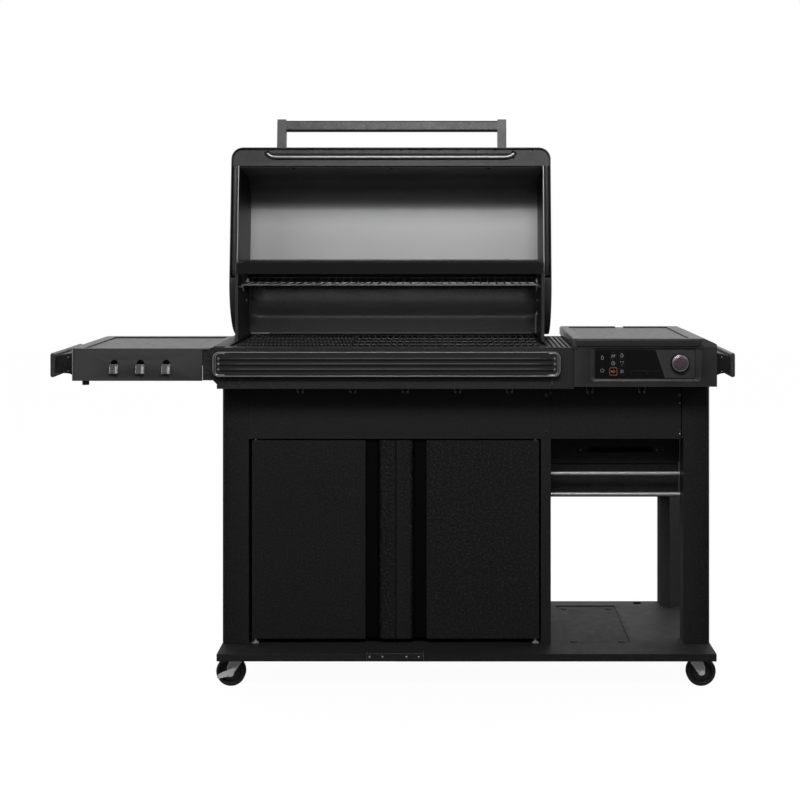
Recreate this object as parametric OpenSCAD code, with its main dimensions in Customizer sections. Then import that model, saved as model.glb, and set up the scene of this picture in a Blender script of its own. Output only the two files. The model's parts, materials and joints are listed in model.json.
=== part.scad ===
// Pellet smoker grill on a wheeled cabinet: barrel cook chamber with its lid
// raised, side shelf, pellet hopper with a control console, two cupboard doors.
// X runs left to right, Y from the front to the back, Z up from the floor.

/* [Barrel] */
// Outer width of the lid
lid_w = 878; // [860:1:884]
// Middle of the barrel, left or right of the middle of the whole grill
barrel_x = -13; // [-15:1:-11]
// Height of the cooking grates
grate_z = 876; // [872:1:876]
// Rounding of the lid's end edges
lid_edge_r = 32; // [16:1:36]
// Angle from closed to fully raised
lid_angle = 97; // [85:1:98]

/* [Cabinet] */
// Width of the bottom deck
base_w = 1278; // [1270:1:1290]
// Depth of the bottom deck
base_d = 546; // [540:1:560]
// Height of the top face of the deck
deck_z = 94; // [92:1:96]
// Width of a front leg
leg_w = 70; // [60:1:72]
// Bottom edge of the doors
door_z0 = 107; // [104:1:112]
// Top edge of the doors
door_z1 = 626; // [600:1:627]

/* [Shelf and hopper] */
// Height of the shelf top
shelf_z = 875; // [860:1:876]
// Depth of the side shelf
shelf_d = 423; // [380:1:430]
// Depth of the hopper lid
hopper_d = 470; // [440:1:480]
// Overall width over the two side handles
total_w = 1778; // [1750:1:1790]

/* [Casters] */
// Diameter of the wheels
wheel_d = 76; // [70:1:76]
// Width of the tyre
wheel_w = 25; // [20:1:26]

/* [Hidden] */
$fn = 48;

sheet = 2.5;                     // sheet metal thickness
gap = 0.3;                       // space between pieces of different bodies
fit = 0.06;                      // radial clearance of a running pin

// Lid, in its closed place
hinge = [404, 1029];             // y and z of the lid hinge
lid_front_y = 45;
rim_z = 882;
hinge_r = hinge[1] - rim_z;      // the end caps run round the hinge at this radius
nose = [175, 1089];              // centre of the rounded top front corner
nose_r = nose[0] - lid_front_y;
lid_cavity_w = lid_w - 38;       // between the inner faces of the double end caps
hood_w = lid_cavity_w - 8;       // the fixed chamber passes between the end caps
liner_front_y = 95;
liner_nose = [185, 1065];
liner_nose_r = liner_nose[0] - liner_front_y;
liner_hinge_r = hinge_r - 22;
skin_end = 40;                   // angle above level where the skin stops at the back

// The origin lies in the middle of the depth, which runs from the rail to the raised lid
rail_front_y = -15;
raised_back_y = hinge[0] + cos(lid_angle) * (nose[0] - hinge[0])
    + sin(lid_angle) * (nose[1] - hinge[1]) + nose_r;
mid_y = (rail_front_y + raised_back_y) / 2;

// Cabinet
base_x0 = -448;
base_x1 = base_x0 + base_w;
deck_seam_x = 8.5;
deck_t = 4;
lip_h = 19;
leg_y = 98;
leg_d = 60;
leg_top_z = 770;
rear_leg_y = base_d - 83;
divider_x = 413;
apron_z0 = 630;
door_t = 18;
door_x0 = -370;
door_seam_x = 7.5;
door_x1 = 382;
door_pin_in = 9;                 // hinge axis, in from the edge and back from the face
door_pin_r = 4;

// Fascia and barrel
fascia_y = 5;
fascia_z0 = 771;
wing_x = -484;
link_x = 409.6;
tub_w = hood_w;
tub_y = [50, 536];
tub_z0 = 775;
belly_x = [-350, 380];
belly_z0 = 650;
hood_front_y = 205;
hood_top_z = 1090;
flange_y = 395;
hood_r = liner_hinge_r - 4;
hood_t = 8;
hood_side_t = 8;

// Shelf, hopper and console
shelf_x = [-820, -464];
shelf_z0 = 792;
hopper_x = [466, base_x1 + 1];
hopper_z0 = 777;
hopper_top_z = 877;
hopper_hinge = [hopper_d + 7, 884];
hopper_knuckle_x = [503, 751];
knuckle_w = 40;
console_d = 34;
knob_at = [735.5, 838];
feed = [303, 700];               // y and z of the auger axis
feed_r = 30;

// Casters: swivel axis and the side to which the wheel trails
wheel_r = wheel_d / 2;
trail = 22;
caster_y = [50, base_d - 50];
caster_left_x = -395;
caster_right_x = 775;
axle_r = 4;
kingpin_r = 6;

// A block between two corners, given as ranges in x, y and z
module block(x, y, z) {
    translate([x[0], y[0], z[0]]) cube([x[1] - x[0], y[1] - y[0], z[1] - z[0]]);
}

// Extrusions of a flat outline along one axis, between two places
module along_x(x) translate([x[0], 0, 0]) rotate([90, 0, 90]) linear_extrude(x[1] - x[0]) children();
module along_y(y) translate([0, y[1], 0]) rotate([90, 0, 0]) linear_extrude(y[1] - y[0]) children();
module along_z(z) translate([0, 0, z[0]]) linear_extrude(z[1] - z[0]) children();

module rod_x(x, y, z, r) translate([x[0], y, z]) rotate([0, 90, 0]) cylinder(h = x[1] - x[0], r = r);
module rod_y(x, y, z, r) translate([x, y[1], z]) rotate([90, 0, 0]) cylinder(h = y[1] - y[0], r = r);
module rod_z(x, y, z, r) translate([x, y, z[0]]) cylinder(h = z[1] - z[0], r = r);

// Rounded rectangle between two corners
module round_rect(x, y, r) {
    translate([x[0] + r, y[0]]) square([x[1] - x[0] - 2 * r, y[1] - y[0]]);
    translate([x[0], y[0] + r]) square([x[1] - x[0], y[1] - y[0] - 2 * r]);
    for (cx = [x[0] + r, x[1] - r], cy = [y[0] + r, y[1] - r]) translate([cx, cy]) circle(r);
}

// A piece and its mirror image about the plane x = at
module pair_about(at) {
    children();
    translate([2 * at, 0, 0]) mirror([1, 0, 0]) children();
}

// Moves a piece from the building frame, where y = 0 is the deck's front, to the grill's origin
module placed() translate([0, -mid_y, 0]) children();

// Turns a piece of the lid from its closed place to its raised place
module raised() {
    translate([0, hinge[0], hinge[1]]) rotate([-lid_angle, 0, 0]) translate([0, -hinge[0], -hinge[1]])
        children();
}

// ---- Cabinet ----

module base_deck_left() placed() color("#1b1b1c") difference() {
    block([base_x0, deck_seam_x - 0.5], [0, base_d], [deck_z - lip_h, deck_z]);
    block([base_x0 + sheet, deck_seam_x - 3], [sheet, base_d - sheet], [deck_z - lip_h - 1, deck_z - deck_t]);
}

module base_deck_right() {
    recess_x = [453, 623];
    recess_y = [101, 494];
    placed() color("#1b1b1c") {
        difference() {
            block([deck_seam_x + 0.5, base_x1], [0, base_d], [deck_z - lip_h, deck_z]);
            block([deck_seam_x + 3, base_x1 - sheet], [sheet, base_d - sheet],
                [deck_z - lip_h - 1, deck_z - deck_t]);
            along_z([deck_z - 2, deck_z + 1]) round_rect(recess_x, recess_y, 8);
            block([681, 703], [512, 537], [deck_z - deck_t - 1, deck_z + 1]);
        }
        for (x = [recess_x[0] + 22, recess_x[1] - 22], y = [recess_y[0] + 26, recess_y[1] - 26])
            rod_z(x, y, [deck_z - 2, deck_z - 0.5], 9);
    }
}

module deck_joint_plate() placed() color("#161617") {
    along_x([-65, 82]) polygon([[-2, 76], [0, 76], [0, deck_z], [94, deck_z], [94, deck_z + 1.5],
        [-2, deck_z + 1.5]]);
}

// Front leg: a box tube with its outer front edge rounded; side is -1 left, 1 right
module front_leg(x_outer, side) {
    edge_r = 14;
    placed() color("#1d1d1e") translate([x_outer, leg_y, 0]) difference() {
        along_z([deck_z, leg_top_z]) mirror([side > 0 ? 1 : 0, 0]) difference() {
            union() {
                translate([edge_r, 0]) square([leg_w - edge_r, leg_d]);
                translate([0, edge_r]) square([edge_r, leg_d - edge_r]);
                translate([edge_r, edge_r]) circle(edge_r);
            }
            union() {
                translate([edge_r, sheet]) square([leg_w - edge_r - sheet, leg_d - 2 * sheet]);
                translate([sheet, edge_r]) square([edge_r, leg_d - edge_r - sheet]);
                translate([edge_r, edge_r]) circle(edge_r - sheet);
            }
        }
    }
}
module front_legs() {
    front_leg(base_x0, -1);
    front_leg(base_x1, 1);
}

// Rear leg: a folded tube whose inner corner points to the front
module rear_leg(x_outer, side) {
    outline = [[0, 83], [77, 83], [74, 40], [53, 0], [0, 59]];
    hollow = [[2.5, 80.5], [74.3, 80.5], [71.5, 40.6], [52.5, 4.4], [2.5, 60]];
    placed() color("#1d1d1e") translate([x_outer, rear_leg_y, 0]) along_z([deck_z, leg_top_z])
        mirror([side > 0 ? 1 : 0, 0]) difference() {
            polygon(outline);
            polygon(hollow);
        }
}
module rear_legs() {
    rear_leg(base_x0, -1);
    rear_leg(base_x1, 1);
}

// Full height on the left; on the right only the top, so the bay stays open
module side_panels() placed() color("#1a1a1b") {
    y = [leg_y + leg_d, rear_leg_y + 56];
    block([base_x0, base_x0 + sheet], y, [deck_z, leg_top_z]);
    block([base_x1 - sheet, base_x1], y, [apron_z0, leg_top_z]);
}

module divider_wall() {
    flange = 26;
    placed() color("#1a1a1b") difference() {
        union() {
            block([divider_x - sheet, divider_x], [leg_y + 3, base_d - 3], [deck_z, leg_top_z - 2]);
            block([divider_x - flange, divider_x], [leg_y, leg_y + 3], [deck_z, apron_z0 - 0.5]);
            block([divider_x - flange, divider_x - flange + sheet], [leg_y + 3, leg_y + 27],
                [deck_z, apron_z0 - 0.5]);
        }
        rod_x([divider_x - 10, divider_x + 10], feed[0], feed[1], feed_r + 0.3);
    }
}

// A full panel behind the cupboard and, behind the bay, a short one with a long pressed recess
module back_panels() {
    y = [base_d - 6, base_d - 3.5];
    placed() color("#1a1a1b") {
        block([base_x0 + 77.5, divider_x - sheet], y, [deck_z, leg_top_z - 2]);
        difference() {
            block([divider_x, base_x1 - 77.5], y, [400, leg_top_z - 2]);
            along_y([y[0] - 2, y[0] + 1.5]) round_rect([500, 680], [526, 544], 8);
        }
    }
}

module front_aprons() placed() color("#19191a")
    for (x = [[base_x0 + leg_w, divider_x], [divider_x + 0.3, base_x1 - leg_w]])
        block(x, [leg_y, leg_y + sheet], [apron_z0, leg_top_z + 0.5]);

// Two bright rails across the open bay, bolted behind the front leg
module bin_rails() {
    rail_r = 5;
    rail_y = leg_y + leg_d + rail_r + 0.5;
    placed() color("#c9cacc") for (z = [474, 529]) {
        rod_x([divider_x, 768], rail_y, z, rail_r);
        rod_y(768, [leg_y + leg_d, rail_y + rail_r], z, 7);
    }
}

module door_hinge_pins() placed() color("#8b8d90") for (x = [door_x0 + door_pin_in, door_x1 - door_pin_in]) {
    y = leg_y + door_pin_in;
    block([x - 8, x + 8], [leg_y + 3, leg_y + 22], [apron_z0, apron_z0 + 3]);
    rod_z(x, y, [door_z1 - 11, apron_z0], door_pin_r);
    block([x - 8, x + 8], [leg_y + 3, leg_y + 22], [deck_z, deck_z + 3]);
    rod_z(x, y, [deck_z + 3, door_z0 + 11], door_pin_r);
}

// Door outline seen from above, hinge edge at x = 0, with the finger groove by the free edge
module door_outline(w, in) {
    groove = [w - 79, w - 49];
    difference() {
        translate([in, in]) square([w - 2 * in, door_t - 2 * in]);
        polygon([[groove[0] - in, -1], [groove[0] - in, 12 + in], [groove[1] + in, 12 + in],
            [groove[1] + 13 + in, -1]]);
    }
}
module door(x_hinge, w, side) {
    pin = [door_pin_in, door_pin_in];
    placed() color("#161617") translate([x_hinge, leg_y, 0]) mirror([side > 0 ? 1 : 0, 0, 0]) difference() {
        union() {
            along_z([door_z0, door_z1]) difference() {
                door_outline(w, 0);
                door_outline(w, 1.5);
            }
            for (z = [door_z0, door_z1 - 2]) along_z([z, z + 2]) door_outline(w, 0);
            for (z = [door_z0, door_z1 - 14]) rod_z(pin[0], pin[1], [z, z + 14], 8);
        }
        for (z = [door_z0 - 1, door_z1 - 13]) rod_z(pin[0], pin[1], [z, z + 14], door_pin_r + fit);
    }
}
module door_left() door(door_x0, door_seam_x - 1 - door_x0, -1);
module door_right() door(door_x1, door_x1 - door_seam_x - 1, 1);

// ---- Front of the barrel ----

module front_fascia() {
    wing_z = 793;
    plate_y = [fascia_y, fascia_y + 3];
    placed() color("#1c1c1d") {
        along_y(plate_y)
            polygon([[wing_x, wing_z], [base_x0 - 10, wing_z], [base_x0, wing_z - 10], [base_x0, fascia_z0],
                [link_x - 0.3, fascia_z0], [link_x - 0.3, grate_z + 1], [shelf_x[1] + 1, grate_z + 1],
                [shelf_x[1] + 1, shelf_z - 4], [wing_x, shelf_z - 4]]);
        block([base_x0, link_x - 0.3], [plate_y[1], leg_y - 0.5], [fascia_z0, fascia_z0 + sheet]);
        block([barrel_x - tub_w / 2, barrel_x + tub_w / 2], [plate_y[1], tub_y[0] - 0.2], [grate_z - 1.5, grate_z + 1]);
    }
}

// U-shaped clips under the fascia that carry accessories
module accessory_clips() {
    clip_w = 13;
    clip_h = 19.5;
    wire = 2;
    placed() color("#2b2b2d") for (x = [-242, -105, 32, 169, 304, 514, 650]) translate([x, 0, 0])
        along_y([88, 92]) difference() {
            translate([-clip_w / 2, fascia_z0 - clip_h]) square([clip_w, clip_h]);
            translate([-clip_w / 2 + wire, fascia_z0 - clip_h + wire]) square([clip_w - 2 * wire, clip_h]);
        }
}

// Long ribbed rail on the fascia
module front_rail() {
    rail_x = [-456, 430];
    rail_z = [804, 867];
    corner_r = 16;
    rib_pitch = 13.7;
    mid_z = (rail_z[0] + rail_z[1]) / 2;
    field_r = corner_r - 5;
    placed() color("#2a2a2c") {
        difference() {
            along_y([rail_front_y, fascia_y]) round_rect(rail_x, rail_z, corner_r);
            along_y([rail_front_y - 1, rail_front_y + 4])
                round_rect([rail_x[0] + 5, rail_x[1] - 5], [rail_z[0] + 5, rail_z[1] - 5], field_r);
        }
        for (i = [-1:1]) intersection() {
            along_y([rail_front_y + 0.5, rail_front_y + 4])
                translate([0, mid_z + i * rib_pitch]) round_rect([rail_x[0] + 14, rail_x[1] - 14], [-4.5, 4.5], 4.4);
            translate([0, 1.6, 0]) rod_x([rail_x[0] + 5, rail_x[1] - 5], rail_front_y + 3.9, mid_z + i * rib_pitch, 5);
        }
        for (x = [-360, -30, 320]) block([x - 12, x + 12], [rail_front_y + 4, fascia_y - 2],
            [rail_z[1], rail_z[1] + 2.5]);
    }
}

// ---- Cook chamber ----

// Outline of the trough, seen from the end; in is the distance in from the outer face
module belly_outline(in) {
    polygon([[110 + in, tub_z0 + 20], [500 - in, tub_z0 + 20], [500 - in, 740 + in / 2],
        [440 - in / 2, belly_z0 + in], [170 + in / 2, belly_z0 + in], [110 + in, 740 + in / 2]]);
}
module cook_chamber() {
    wall = 3;
    x0 = barrel_x - tub_w / 2;
    x1 = barrel_x + tub_w / 2;
    placed() color("#202022") difference() {
        union() {
            block([x0, x1], tub_y, [tub_z0, grate_z]);
            intersection() {
                along_x(belly_x) belly_outline(0);
                block(belly_x, tub_y, [belly_z0, tub_z0]);
            }
        }
        block([x0 + wall, x1 - wall], [tub_y[0] + wall, tub_y[1] - wall], [tub_z0 + wall, grate_z + 1]);
        along_x([belly_x[0] + wall, belly_x[1] - wall]) belly_outline(wall);
        rod_x([belly_x[1] - 20, belly_x[1] + 20], feed[0], feed[1], feed_r + 0.3);
        block([barrel_x - 150, barrel_x + 150], [tub_y[1] - 10, tub_y[1] + 10], [800, 850]);
    }
    rest_z = [grate_z - 14, grate_z - grate_t - gap];
    placed() color("#202022") {
        pair_about(barrel_x) block([x0 + wall, x0 + wall + 22], [tub_y[0] + wall, 465], rest_z);
        block([grate_seam_x - 6, grate_seam_x + 6], [tub_y[0] + wall, tub_y[1] - wall], rest_z);
    }
}

// End view of the fixed upper chamber: a front edge, a rounded corner and a back that
// follows a circle round the lid hinge
module hood_outline() {
    corner_r = 24;
    intersection() {
        union() {
            difference() {
                translate(hinge) circle(hood_r, $fn = 96);
                square([3 * hood_r + hinge[0], grate_z]);
            }
            polygon([[hood_front_y, grate_z], [hinge[0] + 62, grate_z], [hinge[0] + 62, 930],
                [hinge[0], hinge[1]], [hinge[0], hood_top_z], [hood_front_y + corner_r, hood_top_z],
                [hood_front_y, hood_top_z - corner_r]]);
            translate([hood_front_y + corner_r, hood_top_z - corner_r]) circle(corner_r);
            polygon([[hood_front_y + corner_r, hinge[1]], [hinge[0], hinge[1]],
                [hinge[0] + 70, hood_top_z - 2], [hinge[0], hood_top_z], [hood_front_y + corner_r, hood_top_z]]);
        }
        translate([hood_front_y, grate_z]) square([400, hood_top_z - grate_z]);
    }
}
module hood_cavity() {
    flange_h = 33;
    intersection() {
        union() {
            translate(hinge) circle(hood_r - hood_t, $fn = 96);
            translate([flange_y - 20, grate_z - 1]) square([hinge[0] + 62 - hood_t - flange_y + 20, 70]);
        }
        union() {
            translate([flange_y, grate_z - 1]) square([200, hood_top_z - flange_h - grate_z + 1]);
            translate([flange_y + 3, grate_z - 1]) square([200, hood_top_z - 3 - grate_z + 1]);
        }
    }
}
module chamber_hood() {
    half = hood_w / 2;
    ledge_z = grate_z + 3;
    placed() color("#222224") difference() {
        union() {
            along_x([barrel_x - half, barrel_x + half]) hood_outline();
            block([barrel_x - half, barrel_x + half], [hinge[0] + 55, tub_y[1]], [grate_z, ledge_z]);
        }
        along_x([barrel_x - half + hood_side_t, barrel_x + half - hood_side_t]) {
            hood_cavity();
            translate([hood_front_y - 10, grate_z - 1])
                square([flange_y - hood_front_y + 10, hood_top_z - grate_z + 5]);
        }
        pair_about(barrel_x)
            rod_x([barrel_x - half - 5, barrel_x - half + 20], hinge[0], hinge[1], 6);
    }
    placed() color("#222224") pair_about(barrel_x)
        block([barrel_x - half + hood_side_t, barrel_x - half + hood_side_t + 10],
            [hood_front_y + 2, rack_y[1]], [rack_z - rack_t - gap - 4, rack_z - rack_t - gap]);
}

module lid_hinge_pins() {
    half = hood_w / 2;
    placed() color("#9a9ca0") pair_about(barrel_x) {
        rod_x([barrel_x - half - 14, barrel_x - half + hood_side_t], hinge[0], hinge[1], 6);
        rod_x([barrel_x - half + hood_side_t, barrel_x - half + hood_side_t + 3], hinge[0], hinge[1], 10);
    }
}

// Trim channel that joins the shelf to the left end of the barrel
module chamber_trim() placed() color("#1c1c1d") difference() {
    block([shelf_x[1] + 0.2, barrel_x - tub_w / 2 - 0.2], [52, 462], [800, grate_z]);
    block([shelf_x[1] + 3, barrel_x - tub_w / 2 - 3], [51, 463], [799, grate_z - 3]);
}

// Slatted plate between the barrel and the hopper
module vent_grille() {
    x = [barrel_x + tub_w / 2 + 0.2, hopper_x[0] - 0.2];
    slat_n = 5;
    pitch = (x[1] - x[0]) / slat_n;
    placed() color("#3a3b3d") difference() {
        block(x, [9, 400], [grate_z - 10, grate_z + 1]);
        for (i = [0:slat_n - 1])
            block([x[0] + (i + 0.55) * pitch, x[0] + (i + 0.9) * pitch], [14, 395], [grate_z - 4, grate_z + 2]);
        block([x[0] + 3, x[1] - 3], [14, 395], [grate_z - 11, grate_z - 7]);
    }
    placed() color("#1c1c1d") block([link_x, hopper_x[0] - 0.2], [fascia_y, fascia_y + 3], [fascia_z0, grate_z + 1]);
}

module exhaust_cover() {
    x = [barrel_x - 190, barrel_x + 190];
    louver_n = 4;
    placed() color("#1b1b1c") difference() {
        along_x(x) polygon([[tub_y[1], 785], [582, 785], [590, 793], [590, 850], [570, 868], [tub_y[1], 868]]);
        along_x([x[0] + sheet, x[1] - sheet]) polygon([[tub_y[1] - 1, 788], [581, 788], [587.5, 794.5],
            [587.5, 849], [569, 865.5], [tub_y[1] - 1, 865.5]]);
        for (i = [0:louver_n - 1])
            block([x[0] + 25, x[1] - 25], [560, 600], [798 + i * 13, 804 + i * 13]);
    }
}

// ---- Fire and food ----

module fire_pot() placed() color("#4a4743") translate([barrel_x, feed[0], 0]) {
    pot_r = 65;
    difference() {
        rod_z(0, 0, [belly_z0 + 3, 742], pot_r);
        rod_z(0, 0, [belly_z0 + 6, 743], pot_r - 3);
        rod_x([pot_r - 20, pot_r + 5], 0, feed[1], feed_r - 3);
        for (a = [60:30:300]) rotate([0, 0, a]) rod_x([pot_r - 10, pot_r + 5], 0, 680, 4);
        rod_y(0, [pot_r - 10, pot_r + 5], 672, 5);
    }
    rod_y(0, [40, 110], 672, 4.9);
}

module heat_baffle() placed() color("#3b3b3c") {
    x = [barrel_x - 150, barrel_x + 150];
    along_x(x) polygon([[150, 752], [160, 752], [303, 764], [446, 752], [456, 752], [456, 754.5],
        [446, 754.5], [303, 766.5], [160, 754.5], [150, 754.5]]);
    for (px = [x[0] + 8, x[1] - 8], y = [180, 426]) rod_z(px, y, [belly_z0 + 3, 755], 5);
}

module drip_tray() placed() color("#3a3a3c") {
    x = [barrel_x - 400, barrel_x + 400];
    y = [62, 524];
    difference() {
        block(x, y, [800, 814]);
        block([x[0] + 2, x[1] - 2], [y[0] + 2, y[1] - 2], [802, 815]);
    }
    for (px = [x[0] + 15, x[1] - 15], py = [y[0] + 15, y[1] - 15]) rod_z(px, py, [tub_z0 + 3, 800], 6);
}

// A grate of flat bars: pitch_x and pitch_y are the spaces of the two bar directions
module grate(x, y, z, pitch_x, pitch_y, bar) {
    nx = round((x[1] - x[0] - bar) / pitch_x);
    ny = round((y[1] - y[0] - bar) / pitch_y);
    dx = (x[1] - x[0] - bar) / nx;
    dy = (y[1] - y[0] - bar) / ny;
    along_z(z) difference() {
        translate([x[0], y[0]]) square([x[1] - x[0], y[1] - y[0]]);
        for (i = [0:nx - 1], j = [0:ny - 1])
            translate([x[0] + bar + i * dx, y[0] + bar + j * dy]) square([dx - bar, dy - bar]);
    }
}
grate_seam_x = -113;
grate_y = [56, 452];
grate_t = 6;
module cooking_grate_left() placed() color("#242426")
    grate([barrel_x - 400, grate_seam_x - 0.5], grate_y, [grate_z - grate_t, grate_z], 76, 18, 5);
module cooking_grate_right() placed() color("#242426")
    grate([grate_seam_x + 0.5, barrel_x + 400], grate_y, [grate_z - grate_t, grate_z], 24, 36, 5);

rack_y = [215, 450];
rack_z = 1030;
rack_t = 4;
module warming_rack() placed() color("#8c8e90") {
    grate([barrel_x - 401, barrel_x + 401], rack_y, [rack_z - rack_t, rack_z], 21.5, 58, 4);
}

module temperature_probe() placed() color("#d5d6d8") {
    x = barrel_x + hood_w / 2 - hood_side_t;
    rod_z(x - 4, 393, [886, 940], 3);
    rod_x([x - 4, x], 393, 940, 3);
    rod_x([x - 3, x], 393, 940, 8);
}

// ---- Lid ----

function arc(centre, r, from, to, n) = [for (i = [0:n])
    centre + r * [cos(from + (to - from) * i / n), sin(from + (to - from) * i / n)]];

// End view of the closed lid: flat front, rounded nose, and a round part about the hinge
module lid_outline(nose_at, nose_rad, hinge_rad, z0) {
    across = hinge - nose_at;
    reach = norm(across);
    lean = atan2(across[1], across[0]) + acos((nose_rad - hinge_rad) / reach);
    polygon(concat([[nose_at[0] - nose_rad, z0]], arc(nose_at, nose_rad, 180, lean, 36),
        arc(hinge, hinge_rad, lean, -90, 50), [[hinge[0], z0]]));
}
// Solid lid; in is the distance in from the outer face
module lid_body(in, half) {
    r = lid_edge_r - in;
    z = [rim_z, nose[1] + nose_r - in];
    intersection() {
        along_x([barrel_x - half, barrel_x + half])
            lid_outline(nose, nose_r - in, hinge_r - in, in > 0 ? rim_z - 1 : rim_z);
        along_y([0, 700]) round_rect([barrel_x - half, barrel_x + half], [z[0] - 100, z[1]], r);
        along_z([z[0] - 1, z[1] + 1]) round_rect([barrel_x - half, barrel_x + half], [lid_front_y + in, 700], r);
    }
}
// Wedge behind the hinge, where the lid has no skin
module lid_back_opening(half) {
    away = 400;
    along_x([barrel_x - half, barrel_x + half]) polygon([hinge, hinge + away * [cos(skin_end), sin(skin_end)],
        hinge + [away, -away], [hinge[0] + 0.1, rim_z - 150], [hinge[0] - 10, rim_z - 150], hinge - [10, 0]]);
}
module lid_shell() {
    half = lid_w / 2;
    inner_half = lid_cavity_w / 2;
    placed() raised() color("#1a1a1b") difference() {
        lid_body(0, half);
        lid_body(sheet, half - sheet);
        lid_back_opening(inner_half);
    }
}

// Bright inner sheet of the lid with the inner faces of its end caps
module lid_liner() {
    half = lid_cavity_w / 2;
    end_t = sheet;
    placed() raised() color("#b9bbbd") difference() {
        union() {
            along_x([barrel_x - half, barrel_x + half]) difference() {
                lid_outline(liner_nose, liner_nose_r, liner_hinge_r, 905);
                lid_outline(liner_nose, liner_nose_r - 2, liner_hinge_r - 2, 800);
                polygon([hinge, hinge + 400 * [cos(skin_end), sin(skin_end)], hinge + [400, -400],
                    [hinge[0], 600], [0, 600], [0, 905], [hinge[0], 905]]);
            }
            pair_about(barrel_x) along_x([barrel_x - half, barrel_x - half + end_t]) intersection() {
                lid_outline(nose, nose_r - 8, hinge_r - 3, rim_z + 3);
                translate([liner_front_y, rim_z + 3]) square([600, 400]);
            }
        }
        pair_about(barrel_x) rod_x([barrel_x - half - 10, barrel_x - half + 10], hinge[0], hinge[1], 6 + fit);
    }
}

// Strip between the front skin and the liner, with a long pressed rib
module lid_front_panel() {
    half = lid_w / 2 - sheet - 0.3;
    z = 892;
    placed() raised() color("#242425") {
        intersection() {
            along_z([z, z + 2]) round_rect([barrel_x - half, barrel_x + half], [lid_front_y + sheet + 0.3, 400],
                lid_edge_r - sheet - 0.3);
            block([barrel_x - half, barrel_x + half], [lid_front_y, liner_front_y - 0.3], [z - 1, z + 3]);
        }
        intersection() {
            rod_x([barrel_x - 340, barrel_x + 340], lid_front_y + 22, z + 2, 7);
            block([barrel_x - 400, barrel_x + 400], [lid_front_y, liner_front_y], [z - 8, z]);
        }
    }
}

module lid_handle() {
    post_at = 307;
    post_w = 25;
    reach = 88;
    bar_reach = [55, 85];
    z = [rim_z + 50, rim_z + 72];
    placed() raised() color("#2c2c2e") {
        for (s = [-1, 1]) along_z([z[0] - 1, z[1] + 1])
            round_rect([barrel_x + s * post_at - post_w / 2, barrel_x + s * post_at + post_w / 2],
                [lid_front_y - reach, lid_front_y], 2);
        along_x([barrel_x - post_at + post_w / 2 - 0.5, barrel_x + post_at - post_w / 2 + 0.5])
            round_rect([lid_front_y - bar_reach[1], lid_front_y - bar_reach[0]], z, 5);
    }
}

// ---- Side shelf and handles ----

hook_x = [-709, -642, -576];
module side_shelf() {
    tray_in = 30;
    edge_r = 13;
    placed() color("#232325") {
        difference() {
            along_z([shelf_z0, shelf_z]) round_rect(shelf_x, [0, shelf_d], edge_r);
            along_z([shelf_z0 - 1, shelf_z - 6])
                round_rect([shelf_x[0] + sheet, shelf_x[1] - sheet], [sheet, shelf_d - sheet], edge_r - sheet);
            along_z([shelf_z - 3, shelf_z + 1]) round_rect([shelf_x[0] + tray_in, shelf_x[1] - 12],
                [tray_in - 18, shelf_d - tray_in], 6);
            for (x = hook_x) along_y([-5, 10]) {
                translate([x - 10, 810]) square([20, 26]);
                translate([x, 836]) circle(10);
            }
            block([wing_x, shelf_x[1] + 1], [-1, fascia_y + 3.2], [shelf_z0 - 1, shelf_z - 4]);
        }
        rod_z(-787, 22, [shelf_z0 - 12, shelf_z - 6], 9);
    }
}

// Bent steel tongues in the shelf slots
module shelf_hooks() placed() color("#d9dadb") for (x = hook_x) difference() {
    along_x([x - 9.7, x + 9.7]) polygon([[2.6, 810.2], [-9, 810.2], [-11, 812], [-11, 834], [-8.6, 834],
        [-8.6, 812.8], [2.6, 812.8], [2.6, 834], [5, 834], [5, 810.2]]);
    block([x - 6, x + 6], [-12, -8], [818, 835]);
}

module side_handles() {
    bar_x = total_w / 2;
    bar_t = 9;
    bar_y = [60, 370];
    bar_z = [795, 858];
    placed() color("#2a2a2c") for (s = [-1, 1]) {
        inner = s < 0 ? -shelf_x[0] : hopper_x[1];
        mirror([s < 0 ? 1 : 0, 0, 0]) {
            along_x([bar_x - bar_t, bar_x]) round_rect(bar_y, bar_z, 14);
            for (y = [bar_y[0] + 16, bar_y[1] - 40])
                along_x([inner, bar_x - bar_t]) round_rect([y, y + 24], [bar_z[0] + 12, bar_z[1] - 10], 6);
        }
    }
}

// ---- Hopper ----

inlet_x = [700, 748];
inlet_z = [800, 828];
module hopper_housing() {
    y = [console_d + 0.2, hopper_d];
    placed() color("#1e1e20") difference() {
        block(hopper_x, y, [hopper_z0, hopper_top_z]);
        block([hopper_x[0] + sheet, hopper_x[1] - sheet], [y[0] + sheet, y[1] - sheet],
            [hopper_z0 - 1, hopper_top_z + 1]);
        block(inlet_x, [y[1] - 10, y[1] + 10], inlet_z);
    }
    placed() color("#1e1e20") for (px = hopper_knuckle_x) {
        rod_x([px - 6, px + knuckle_w + 6], hopper_hinge[0], hopper_hinge[1], 3);
        for (ear = [px - 6, px + knuckle_w + gap]) {
            rod_x([ear, ear + 6 - gap], hopper_hinge[0], hopper_hinge[1], 6);
            block([ear, ear + 6 - gap], [hopper_d + gap, hopper_hinge[0]], [862, hopper_hinge[1]]);
            block([ear, ear + 6 - gap], [hopper_d, hopper_d + gap], [862, 876]);
        }
    }
}

// Appliance socket for the mains lead, with three contact blades
module power_inlet() {
    back = hopper_d + 2;
    placed() {
        color("#141415") difference() {
            block(inlet_x, [back - 16, back], inlet_z);
            block([inlet_x[0] + 4, inlet_x[1] - 4], [back - 12, back + 1], [inlet_z[0] + 4, inlet_z[1] - 4]);
        }
        color("#c0c2c4") for (x = [714, 724, 734]) block([x - 1, x + 1], [back - 12, back - 4], [811, 817]);
    }
}

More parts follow.
